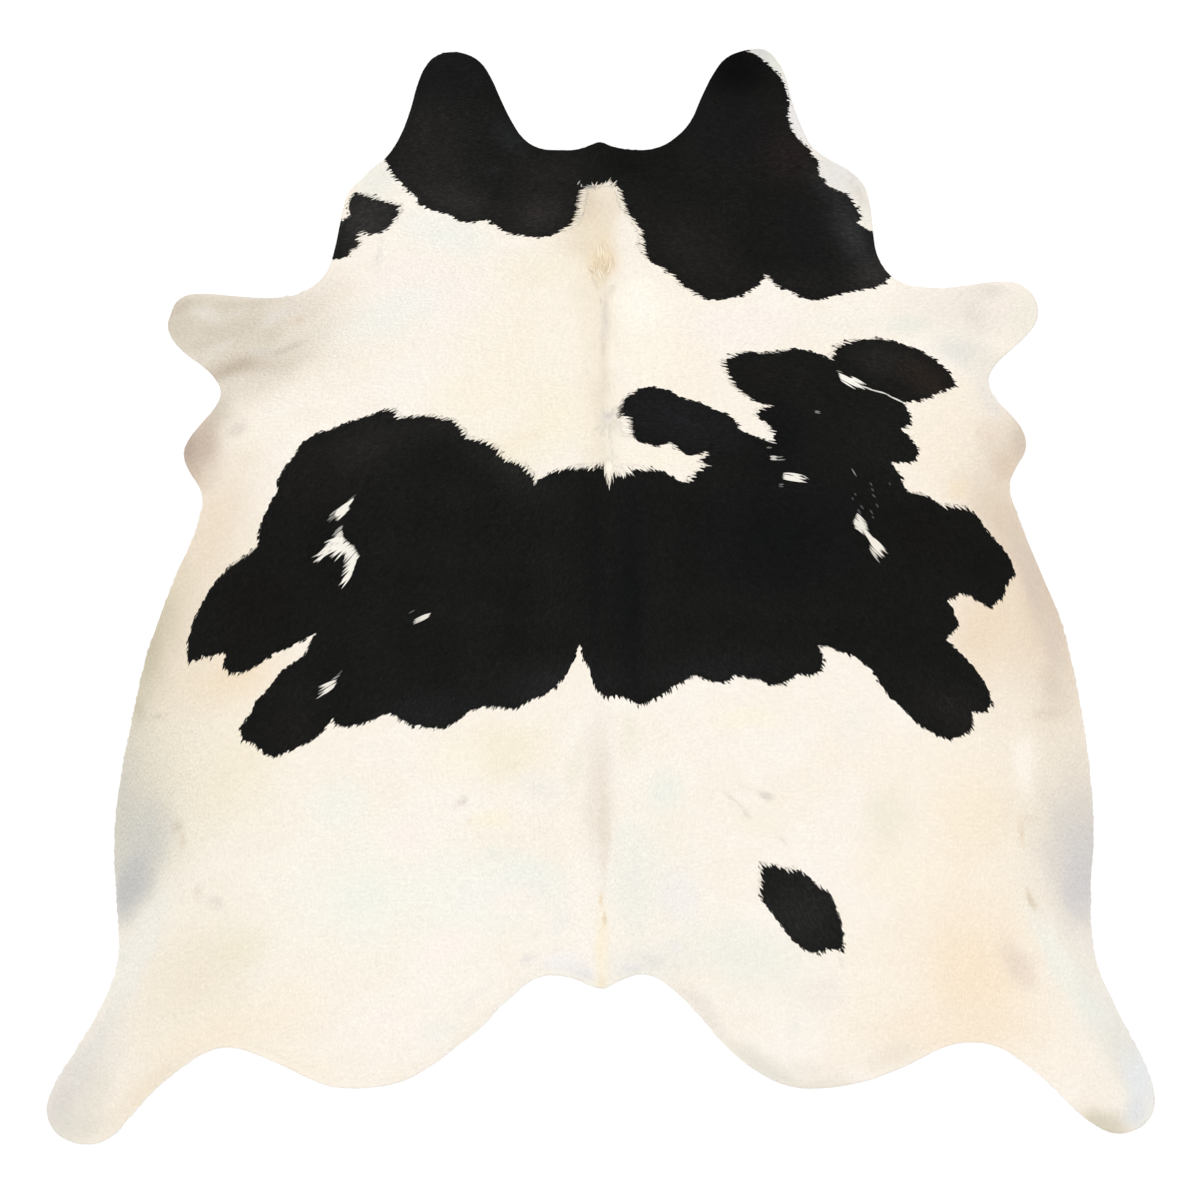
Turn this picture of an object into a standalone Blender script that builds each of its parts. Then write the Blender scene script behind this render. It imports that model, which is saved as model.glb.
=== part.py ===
"""A cowhide rug: one whole tanned hide with its hair on, laid flat with the hair side up.

The hide rests on its flesh side in the XY plane. +Y runs up the spine to the neck, +X is the
animal's right side, and +Z is up. The origin is on the floor under the middle of the hide's
bounding box. The knife cut that gives the rug its shape is charted in millimetres.
"""

import bmesh
import bpy
from mathutils import Vector
from mathutils.geometry import delaunay_2d_cdt
from mathutils.kdtree import KDTree

MM = 0.001

# Thickness of the skin together with the coat that lies on it
BACK_THICKNESS = 4.8 * MM  # along the spine, where a hide is thickest
BELLY_THICKNESS = 3.6 * MM  # out at the flanks and the shanks
CUT_EDGE_THICKNESS = 2.2 * MM  # at the knife cut, which shows little but the skin
BACK_TO_BELLY = 0.95  # sideways distance over which the back thins to the belly
COAT_ROUNDING = 12 * MM  # width over which the coat rises from the cut edge

# Fineness of the mesh
STEPS_PER_CURVE = 3  # straight steps between two neighbouring points of the chart
FIELD_SPACING = 70 * MM  # between the points that carry the crown of the back

COAT_COLOUR = (0.92, 0.87, 0.78, 1.0)
COAT_ROUGHNESS = 0.6

# The knife cut, clockwise from the notch between the two neck flaps, seen from above.
# Each point is (x, y) in millimetres, and the cut is a smooth curve through all of them.
KNIFE_CUT = {
    "right neck flap": [
        (-2, 909), (20, 901), (70, 893), (116, 899), (150, 919), (178, 949), (200, 997),
        (228, 1051), (250, 1077), (282, 1091), (304, 1095), (328, 1093), (350, 1073), (368, 1041),
        (380, 995), (404, 931), (422, 899), (454, 875), (496, 851), (522, 827), (534, 797),
        (544, 727), (552, 683), (582, 639),
    ],
    "right foreleg": [
        (616, 622), (662, 617), (720, 620), (784, 629), (826, 627), (854, 613), (870, 589),
        (872, 557), (854, 527), (818, 493), (790, 466), (774, 433),
    ],
    "right elbow": [
        (788, 397), (822, 361), (846, 325), (848, 293), (830, 259), (816, 221),
    ],
    "right flank": [
        (828, 175), (862, 89), (892, 19), (918, -45), (948, -167), (966, -267), (980, -387),
        (984, -487), (980, -541), (978, -619), (980, -675), (992, -737), (1020, -803), (1056, -875),
    ],
    "right hind leg": [
        (1090, -941), (1106, -995), (1106, -1019), (1090, -1051), (1060, -1069), (1028, -1073),
        (992, -1059), (946, -1023), (898, -975), (844, -931), (796, -901), (742, -891), (690, -899),
        (620, -933), (558, -959), (518, -971),
    ],
    "rump": [
        (438, -983), (378, -979), (320, -954), (260, -908), (200, -841), (168, -807), (130, -774),
        (104, -759), (76, -755), (54, -761), (22, -775), (8, -783), (-2, -783), (-24, -777),
        (-50, -765), (-92, -757), (-118, -759), (-152, -775), (-176, -797), (-202, -819),
        (-241, -861), (-291, -900), (-341, -938), (-402, -970), (-472, -982), (-541, -979),
    ],
    "left hind leg": [
        (-576, -967), (-626, -943), (-682, -918), (-744, -901), (-790, -911), (-832, -937),
        (-890, -983), (-936, -1031), (-966, -1067), (-992, -1087), (-1024, -1095), (-1066, -1087),
        (-1092, -1069), (-1108, -1033), (-1104, -1003), (-1084, -961), (-1042, -895), (-998, -818),
        (-976, -768),
    ],
    "left flank": [
        (-964, -719), (-964, -663), (-968, -605), (-972, -527), (-970, -437), (-958, -351),
        (-940, -259), (-914, -141), (-894, -75), (-836, 73), (-822, 101), (-804, 153), (-796, 193),
    ],
    "left elbow": [
        (-804, 220), (-824, 252), (-834, 283), (-826, 311), (-800, 345), (-770, 381), (-760, 409),
    ],
    "left foreleg": [
        (-770, 433), (-794, 459), (-832, 487), (-858, 517), (-866, 541), (-860, 565), (-848, 590),
        (-824, 603), (-790, 605), (-736, 601), (-680, 597), (-644, 598), (-606, 605), (-568, 627),
        (-546, 653), (-536, 681),
    ],
    "left neck flap": [
        (-522, 745), (-516, 775), (-504, 809), (-480, 833), (-458, 855), (-432, 876), (-404, 916),
        (-380, 977), (-366, 1027), (-346, 1067), (-326, 1083), (-300, 1089), (-270, 1085),
        (-242, 1069), (-222, 1041), (-200, 993), (-178, 949), (-154, 915), (-124, 897), (-86, 893),
        (-44, 895), (-16, 905),
    ],
}


def remove_everything():
    """Empties the scene that Blender starts with."""
    for thing in list(bpy.data.objects):
        bpy.data.objects.remove(thing)


def smooth_closed_curve(points):
    """A finely stepped closed curve through the points, as 2D vectors in metres."""
    path = bpy.data.curves.new("knife_cut", "CURVE")
    path.resolution_u = STEPS_PER_CURVE
    spline = path.splines.new("BEZIER")
    spline.bezier_points.add(len(points) - 1)
    spline.use_cyclic_u = True
    for knot, (x, y) in zip(spline.bezier_points, points):
        knot.co = (x * MM, y * MM, 0)
        knot.handle_left_type = "AUTO"
        knot.handle_right_type = "AUTO"
    guide = bpy.data.objects.new("knife_cut", path)
    steps = [vertex.co.xy for vertex in guide.to_mesh().vertices]
    guide.to_mesh_clear()
    bpy.data.objects.remove(guide)
    return steps


def centred(loop):
    """The loop moved so that its bounding box is centred on the origin."""
    low = Vector((min(p.x for p in loop), min(p.y for p in loop)))
    high = Vector((max(p.x for p in loop), max(p.y for p in loop)))
    return [p - (low + high) / 2 for p in loop]


def inward_normals(loop):
    """For each point of an anticlockwise loop, the direction square to it that points inside."""
    ahead = loop[1:] + loop[:1]
    behind = loop[-1:] + loop[:-1]
    return [(b - a).orthogonal().normalized() for a, b in zip(behind, ahead)]


def field_points(rim, inwards):
    """A staggered field of points inside the rim, none of them close to it."""
    tree = KDTree(len(rim))
    for i, point in enumerate(rim):
        tree.insert(point.to_3d(), i)
    tree.balance()
    row_height = FIELD_SPACING * 3**0.5 / 2
    rows = int(max(abs(p.y) for p in rim) / row_height) + 1
    columns = int(max(abs(p.x) for p in rim) / FIELD_SPACING) + 1
    found = []
    for row in range(-rows, rows + 1):
        for column in range(-columns, columns + 1):
            point = Vector(((column + row % 2 / 2) * FIELD_SPACING, row * row_height))
            _, nearest, _ = tree.find(point.to_3d())
            if (point - rim[nearest]).dot(inwards[nearest]) > FIELD_SPACING / 2:
                found.append(point)
    return found


def body_thickness(x):
    """Skin and coat away from the edge: full on the spine, thinner towards the belly."""
    outwards = min(abs(x) / BACK_TO_BELLY, 1)
    return BACK_THICKNESS + (BELLY_THICKNESS - BACK_THICKNESS) * outwards**2


def flat_hide(cut):
    """The hide's plan as a flat mesh facing up. Its first vertices are the knife cut's."""
    inwards = inward_normals(cut)
    rim = [point + inward * COAT_ROUNDING for point, inward in zip(cut, inwards)]
    count = len(cut)
    around = [(i, (i + 1) % count) for i in range(count)]
    rim_edges = [(a + count, b + count) for a, b in around]
    points = cut + rim + field_points(rim, inwards)
    inside_only = 1
    plan = delaunay_2d_cdt(points, around + rim_edges, [list(range(count))], inside_only, 1e-6)
    bm = bmesh.new()
    vertices = [bm.verts.new(point.to_3d()) for point in plan[0]]
    for corners in plan[2]:
        bm.faces.new([vertices[i] for i in corners])
    return bm


def hide_mesh():
    """The closed solid of the hide: a flat flesh side and a gently crowned hair side."""
    clockwise = [point for stretch in KNIFE_CUT.values() for point in stretch]
    cut = centred(smooth_closed_curve(clockwise[::-1]))
    bm = flat_hide(cut)
    edge_points = {vertex for edge in bm.edges if edge.is_boundary for vertex in edge.verts}
    heights = {}
    for vertex in bm.verts:
        at_edge = vertex in edge_points
        heights[vertex.co.xy.freeze()] = CUT_EDGE_THICKNESS if at_edge else body_thickness(vertex.co.x)
    raised = bmesh.ops.extrude_face_region(bm, geom=bm.faces[:])["geom"]
    for vertex in raised:
        if isinstance(vertex, bmesh.types.BMVert):
            vertex.co.z = heights[vertex.co.xy.freeze()]
    flesh_side = [face for face in bm.faces if all(v.co.z == 0 for v in face.verts)]
    bmesh.ops.dissolve_faces(bm, faces=flesh_side, use_verts=True)
    bmesh.ops.triangulate(bm, faces=bm.faces[:])
    bmesh.ops.recalc_face_normals(bm, faces=bm.faces[:])
    mesh = bpy.data.meshes.new("hide")
    bm.to_mesh(mesh)
    bm.free()
    mesh.shade_smooth()
    mesh.set_sharp_from_angle(angle=0.6)
    return mesh


def coat_material():
    """The pale short hair that covers most of the hide."""
    material = bpy.data.materials.new("coat")
    material.use_nodes = True
    shader = material.node_tree.nodes["Principled BSDF"]
    shader.inputs["Base Color"].default_value = COAT_COLOUR
    shader.inputs["Roughness"].default_value = COAT_ROUGHNESS
    shader.inputs["Metallic"].default_value = 0.0
    return material


def build_rug():
    """The one-piece rug, in a collection of its own."""
    rug = bpy.data.collections.new("cowhide_rug")
    bpy.context.scene.collection.children.link(rug)
    hide = bpy.data.objects.new("hide", hide_mesh())
    hide.data.materials.append(coat_material())
    rug.objects.link(hide)


remove_everything()
build_rug()
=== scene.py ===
"""A cowhide rug laid flat on a white studio floor with its hair side up, seen from straight above.

It is made in the order of the real thing: the tanned skin, the fine undercoat that hides the skin,
then the lying coat, tuft by tuft, pale and black. Places are charted in millimetres of the frame:
+Y runs up the spine to the neck, +X points to the animal's right side.
"""

import math

import bmesh
import bpy
import numpy as np
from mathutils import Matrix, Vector
from mathutils.bvhtree import BVHTree
from mathutils.geometry import delaunay_2d_cdt
from mathutils.kdtree import KDTree


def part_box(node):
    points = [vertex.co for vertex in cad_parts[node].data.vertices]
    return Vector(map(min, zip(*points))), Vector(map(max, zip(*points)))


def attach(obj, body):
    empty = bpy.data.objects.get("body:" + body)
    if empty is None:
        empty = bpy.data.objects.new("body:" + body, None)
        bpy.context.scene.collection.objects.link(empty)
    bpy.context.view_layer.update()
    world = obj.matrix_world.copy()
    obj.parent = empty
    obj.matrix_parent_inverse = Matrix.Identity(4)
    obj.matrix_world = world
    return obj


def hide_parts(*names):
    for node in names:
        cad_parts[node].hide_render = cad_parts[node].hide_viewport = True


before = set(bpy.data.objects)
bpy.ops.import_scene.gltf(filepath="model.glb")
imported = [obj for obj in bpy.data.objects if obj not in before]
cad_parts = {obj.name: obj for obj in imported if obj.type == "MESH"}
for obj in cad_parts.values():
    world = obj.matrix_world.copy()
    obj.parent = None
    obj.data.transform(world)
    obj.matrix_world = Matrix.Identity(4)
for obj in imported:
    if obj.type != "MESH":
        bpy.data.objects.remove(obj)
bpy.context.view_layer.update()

MM = 0.001


# ------------------------------------------------------------------------------------ the studio
# A white card floor under an even white surround, lit by one wide soft light from the upper left.
# The camera hangs high above the rug and looks straight down, with the neck at the top.

WHITE_CARD = (0.97, 0.97, 0.97, 1.0)
FLOOR_SIZE = 14.0
FLOOR_DROP = 0.2 * MM  # the floor lies this far below the flesh side, so the two don't flicker
SURROUND_LIGHT = 1.0
KEY_LIGHT = 0.55
KEY_WIDTH = math.radians(35)  # a large, near softbox
KEY_TILT = (math.radians(-28), math.radians(-24))  # from the upper left
PICTURE_WIDTH = 2.4
PICTURE_MIDDLE = (-1.5 * MM, -7 * MM)
LENS = 100.0
SENSOR = 36.0


def node(tree, kind, inputs=None, **settings):
    """A new shader node, with its settings, and with values or links for its sockets."""
    made = tree.nodes.new("ShaderNode" + kind)
    for name, value in settings.items():
        setattr(made, name, value)
    for socket, value in (inputs or {}).items():
        if isinstance(value, bpy.types.NodeSocket):
            tree.links.new(value, made.inputs[socket])
        else:
            made.inputs[socket].default_value = value
    return made


def new_material(name, **finish):
    """A material with an empty Principled shader, its fixed finish set on the shader's sockets."""
    material = bpy.data.materials.new(name)
    material.use_nodes = True
    shader = material.node_tree.nodes["Principled BSDF"]
    for socket, value in finish.items():
        shader.inputs[socket.replace("_", " ")].default_value = value
    return material, material.node_tree, shader


def lay_floor():
    """A large plain white floor just under the rug."""
    bm = bmesh.new()
    bmesh.ops.create_grid(bm, x_segments=1, y_segments=1, size=FLOOR_SIZE / 2)
    bmesh.ops.translate(bm, verts=bm.verts, vec=(0, 0, -FLOOR_DROP))
    mesh = bpy.data.meshes.new("floor")
    bm.to_mesh(mesh)
    bm.free()
    material, tree, shader = new_material("white_card", Roughness=0.9)
    place = node(tree, "TexCoord").outputs["Object"]
    grain = node(tree, "TexNoise", {"Vector": place, "Scale": 3.0, "Detail": 4.0})
    shade = node(tree, "MapRange", {"Value": grain.outputs["Fac"], "To Min": 0.985, "To Max": 1.0})
    card = node(tree, "VectorMath", {0: WHITE_CARD[:3], "Scale": shade.outputs["Result"]},
                operation="SCALE")
    tree.links.new(card.outputs["Vector"], shader.inputs["Base Color"])
    mesh.materials.append(material)
    floor = bpy.data.objects.new("floor", mesh)
    bpy.context.scene.collection.objects.link(floor)


def light_studio():
    """An even surround, and a wide soft light that never falls off across the rug."""
    world = bpy.data.worlds.new("studio")
    bpy.context.scene.world = world
    world.use_nodes = True
    surround = world.node_tree.nodes["Background"]
    surround.inputs["Color"].default_value = (1, 1, 1, 1)
    surround.inputs["Strength"].default_value = SURROUND_LIGHT
    lamp = bpy.data.lights.new("key", "SUN")
    lamp.energy = KEY_LIGHT
    lamp.angle = KEY_WIDTH
    key = bpy.data.objects.new("key", lamp)
    key.rotation_euler = (*KEY_TILT, 0)
    bpy.context.scene.collection.objects.link(key)


def hang_camera():
    """A long lens straight above the rug, so that its edges show no slant."""
    lens = bpy.data.cameras.new("camera")
    lens.lens = LENS
    lens.sensor_width = SENSOR
    camera = bpy.data.objects.new("camera", lens)
    camera.location = (*PICTURE_MIDDLE, PICTURE_WIDTH * LENS / SENSOR)
    bpy.context.scene.collection.objects.link(camera)
    bpy.context.scene.camera = camera
    bpy.context.scene.view_settings.view_transform = "Standard"


lay_floor()
light_studio()
hang_camera()


# ------------------------------------------------------------------------------- the tanned skin
# The whole skin of the animal, split to an even thickness, tanned, and trimmed round with a knife.
# Its flesh side is brushed suede and lies on the floor, and the knife cut shows its pale fibres.
# It lies on nothing but the floor, and the coat stays rooted in it.

THINNEST_SKIN = 1.5 * MM
COAT_DEPTH = 2.2 * MM  # of the lying coat, above the skin
SUEDE = (0.60, 0.53, 0.45, 1.0)
SUEDE_WORN = (0.70, 0.64, 0.57, 1.0)
CUT_FIBRES = (0.92, 0.88, 0.82, 1.0)


def merged_copy(name):
    """The CAD node's solid, with its loose triangles joined."""
    solid = bmesh.new()
    solid.from_mesh(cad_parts[name].data)
    bmesh.ops.remove_doubles(solid, verts=solid.verts, dist=0.01 * MM)
    return solid


def skin_top(coat_top):
    """How high the skin reaches under a coat of that height."""
    return np.maximum(coat_top - COAT_DEPTH, THINNEST_SKIN)


def tanned_leather():
    """Brushed suede below, with its nap and faint veins, and paler fibres at the knife cut."""
    material, tree, shader = new_material("tanned_leather", Specular_IOR_Level=0.2)
    place = node(tree, "TexCoord").outputs["Object"]
    brushed = node(tree, "TexNoise", {"Vector": place, "Scale": 9.0, "Detail": 6.0, "Roughness": 0.6})
    nap = node(tree, "TexNoise", {"Vector": place, "Scale": 700.0, "Detail": 3.0})
    veins = node(tree, "TexVoronoi", {"Vector": place, "Scale": 7.0}, feature="DISTANCE_TO_EDGE")
    vein = node(tree, "MapRange", {"Value": veins.outputs["Distance"], "From Max": 0.03,
                                   "To Min": 1.0, "To Max": 0.0})
    tone = node(tree, "MapRange", {"Value": brushed.outputs["Fac"], "From Min": 0.35, "From Max": 0.65})
    flesh = node(tree, "Mix", {0: tone.outputs["Result"], 6: SUEDE, 7: SUEDE_WORN}, data_type="RGBA")
    upright = node(tree, "SeparateXYZ", {0: node(tree, "NewGeometry").outputs["Normal"]})
    facing_down = node(tree, "MapRange", {"Value": upright.outputs["Z"], "From Min": -0.9,
                                          "From Max": -0.5, "To Min": 0.0, "To Max": 1.0})
    leather = node(tree, "Mix", {0: facing_down.outputs["Result"], 6: flesh.outputs[2],
                                 7: CUT_FIBRES}, data_type="RGBA")
    fibres = node(tree, "MapRange", {"Value": nap.outputs["Fac"], "To Min": 0.8, "To Max": 1.15})
    shaded = node(tree, "VectorMath", {0: leather.outputs[2], "Scale": fibres.outputs["Result"]},
                  operation="SCALE")
    rough = node(tree, "MapRange", {"Value": nap.outputs["Fac"], "To Min": 0.85, "To Max": 1.0})
    raised = node(tree, "Math", {0: vein.outputs["Result"], 1: nap.outputs["Fac"]}, operation="ADD")
    bump = node(tree, "Bump", {"Height": raised.outputs["Value"], "Strength": 0.5,
                               "Distance": 0.4 * MM})
    tree.links.new(shaded.outputs["Vector"], shader.inputs["Base Color"])
    tree.links.new(rough.outputs["Result"], shader.inputs["Roughness"])
    tree.links.new(bump.outputs["Normal"], shader.inputs["Normal"])
    return material


def tanned_skin(solid):
    """The rug's solid, lowered to the top of its skin."""
    skin = solid.copy()
    for vertex in skin.verts:
        if vertex.co.z > 0:
            vertex.co.z = skin_top(vertex.co.z)
    mesh = bpy.data.meshes.new("hide_skin")
    skin.to_mesh(mesh)
    skin.free()
    mesh.materials.append(tanned_leather())
    piece = bpy.data.objects.new("hide_skin", mesh)
    bpy.context.scene.collection.objects.link(piece)
    return piece


rug_solid = merged_copy("hide")
hide_skin = tanned_skin(rug_solid)
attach(hide_skin, "root")
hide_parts("hide")


# --------------------------------------------------------------------------------- the undercoat
# The dense fine hair at the roots of the coat, which hides the skin between the tufts. It is pale
# over most of the rug and black in the patches, darkened with painted shade under the coat above it,
# and its pale parts carry the stains of the hide and the painted shade along the spine.
# It grows out of the skin, so its underside lies inside the skin.

UNDERCOAT_SHARE = 0.72  # of the coat's depth that the undercoat fills
ROOT_LEVEL = 1.0 * MM  # of its underside above the floor, inside the skin
UNDERCOAT_SPACING = 10 * MM  # between the points that carry its surface
UNDERCOAT_SHOULDER = 0.8 * MM  # how far it stays back from the knife cut
CARD_GAIN = 1.08  # how bright the studio light makes a white card
PALE_COAT = (251, 243, 231)  # colours as the eye names them, 0 to 255
BLACK_COAT = (27, 27, 26)
BLACK_GLOSS = 0.003  # linear light that black hair adds to its colour by its gloss
DARKEST = 0.001  # linear light, of the blackest hair
PALE_DOWN_SHADE = 0.98  # of the pale coat's brightness, in the undercoat below it: painted shade under the coat
BLACK_DOWN_SHADE = 0.7  # of the black coat's brightness, in the undercoat below it: painted shade under the coat
MARK_FADE = 1.4  # leaves a mark a quarter of its strength at its charted size: stains, tints, painted shade and sheen
SOFT_MARK_FIRMNESS = 2  # how sharp the edges of washes, of the painted shade down the spine, and of the black coat's tints and painted sheen are
CLEAR_MARK_FIRMNESS = 3  # and those of stains, and of the painted shade in the parting
EDGE_WOBBLE = 5 * MM  # how unevenly the edges of washes and stains run
RIPPLE_WAVES = 7  # that cross each other in an uneven field
RIPPLE_HEIGHT = 3.2  # which so many waves together seldom pass
MAP_SIZE = 1.01  # of the rug's longer side, so that the map of the exported pictures holds it
MAP_MARGIN = 0.002  # of the map, left free at its lower left

# The patches of black hair, as closed outlines of (x, y) in millimetres. They run on past the
# knife cut where the patch does.
BLACK_PATCHES = {
    "neck": [
        (-449, 893), (-429, 871), (-423, 855), (-407, 837), (-385, 813), (-369, 801),
        (-365, 787), (-345, 775), (-321, 769), (-301, 764), (-279, 749), (-257, 748),
        (-225, 755), (-213, 745), (-195, 731), (-177, 725), (-153, 723), (-127, 717),
        (-105, 721), (-81, 729), (-59, 743), (-43, 765), (-37, 787), (-35, 809), (-31, 817),
        (-17, 821), (-3, 822), (9, 827), (21, 831), (29, 823), (41, 813), (41, 791), (47, 773),
        (63, 755), (75, 735), (81, 717), (79, 701), (91, 679), (103, 667), (125, 657),
        (149, 639), (163, 621), (191, 605), (213, 593), (243, 595), (283, 603), (305, 617),
        (325, 635), (331, 645), (343, 631), (359, 617), (381, 611), (401, 599), (431, 593),
        (465, 601), (503, 611), (543, 617), (565, 627), (581, 639), (603, 669), (567, 733),
        (545, 727), (527, 737), (513, 743), (519, 761), (507, 781), (491, 805), (465, 813),
        (445, 827), (435, 849), (435, 869), (419, 881), (421, 891), (401, 907), (381, 931),
        (373, 961), (379, 987), (371, 1007), (369, 1023), (355, 1043), (331, 1065), (313, 1079),
        (289, 1091), (279, 1121), (-341, 1121), (-411, 1073),
    ],
    "left neck spot": [
        (-533, 751), (-521, 747), (-511, 757), (-499, 757), (-505, 783), (-495, 803),
        (-479, 805), (-453, 797), (-429, 787), (-403, 783), (-403, 769), (-417, 745),
        (-437, 729), (-461, 723), (-475, 733), (-485, 723), (-483, 703), (-499, 691),
        (-503, 681), (-521, 675), (-549, 673),
    ],
    "saddle, left flank": [
        (-825, -125), (-825, -91), (-815, -53), (-799, -19), (-777, 19), (-745, 55), (-715, 77),
        (-689, 97), (-681, 105), (-685, 115), (-677, 149), (-661, 185), (-643, 215),
        (-645, 233), (-631, 257), (-611, 283), (-597, 307), (-569, 325), (-539, 333),
        (-509, 345), (-469, 359), (-439, 369), (-417, 373), (-403, 355), (-351, 361),
        (-301, 353), (-283, 337), (-267, 315), (-231, 309), (-209, 295), (-193, 271),
        (-155, 261), (-139, 241), (-133, 223), (-121, 235), (-89, 251), (-47, 259), (-13, 255),
        (3, 261),
    ],
    "saddle, right shoulder": [
        (17, 219), (25, 245), (45, 237), (55, 253), (91, 257), (121, 251), (143, 239),
        (159, 229), (175, 227), (189, 245), (213, 261), (201, 269), (217, 289), (179, 283),
        (151, 295), (143, 309), (113, 301), (75, 311), (59, 329), (55, 353), (37, 369),
        (47, 395), (71, 413), (101, 419), (139, 411), (163, 395), (193, 389), (227, 373),
        (251, 365), (269, 351), (277, 333), (305, 321), (343, 307), (347, 323), (333, 347),
        (311, 361), (321, 375), (345, 381), (309, 389), (287, 405), (265, 423), (253, 449),
        (243, 469), (263, 481), (289, 489), (317, 485), (355, 489), (387, 495), (421, 489),
        (447, 479), (463, 471), (463, 481), (477, 503), (513, 513), (559, 515), (597, 505),
        (635, 493), (669, 473), (695, 449), (711, 421), (689, 415), (665, 405), (657, 397),
        (623, 389), (597, 391), (611, 377),
    ],
    "saddle, right flank": [
        (619, 357), (617, 343), (597, 335), (615, 319), (635, 293), (629, 271), (605, 269),
        (577, 271), (601, 239), (607, 217), (615, 207), (651, 201), (681, 181), (731, 177),
        (753, 159), (773, 129), (803, 97), (823, 67), (827, 45), (811, 25), (803, -1),
        (781, -21), (753, -9), (735, 5), (715, 7), (703, -5), (685, -3), (703, -25), (715, -59),
        (699, -75), (689, -87), (715, -111), (751, -147), (773, -185), (781, -215), (767, -231),
        (739, -229), (745, -259), (721, -279), (697, -287), (669, -275), (629, -251),
        (607, -225), (577, -199), (559, -173), (543, -147), (517, -125), (481, -109),
        (451, -99), (431, -97),
    ],
    "saddle, lower edge": [
        (445, -125), (439, -147), (425, -157), (395, -153), (365, -173), (339, -177),
        (317, -165), (265, -155), (255, -171), (227, -171), (203, -161), (181, -155),
        (177, -163), (145, -181), (111, -203), (77, -217), (53, -203), (23, -195), (15, -203),
        (-7, -189), (-19, -159), (-23, -137), (-37, -125), (-37, -103), (-45, -91), (-53, -125),
        (-67, -153), (-91, -181), (-115, -199), (-141, -205), (-169, -225), (-195, -221),
        (-233, -219), (-263, -229), (-287, -249), (-317, -265), (-351, -261), (-381, -255),
        (-401, -243), (-425, -231), (-447, -243), (-477, -253), (-509, -261), (-527, -255),
        (-539, -243),
    ],
    "saddle, left belly": [
        (-557, -271), (-581, -289), (-615, -305), (-653, -321), (-681, -307), (-689, -293),
        (-715, -287), (-721, -263), (-699, -237), (-689, -209), (-669, -191), (-641, -153),
        (-611, -131), (-589, -115), (-581, -95), (-567, -71), (-597, -87), (-623, -101),
        (-657, -115), (-685, -135), (-715, -151), (-741, -153), (-755, -139), (-745, -111),
        (-773, -117), (-799, -121), (-821, -129),
    ],
    "rump spot": [
        (321, -537), (349, -539), (373, -549), (391, -545), (415, -561), (433, -579),
        (455, -591), (469, -617), (475, -641), (483, -667), (485, -679), (481, -707),
        (455, -705), (433, -713), (409, -707), (387, -689), (365, -663), (347, -635),
        (327, -613), (319, -597), (321, -565),
    ],
}

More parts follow.
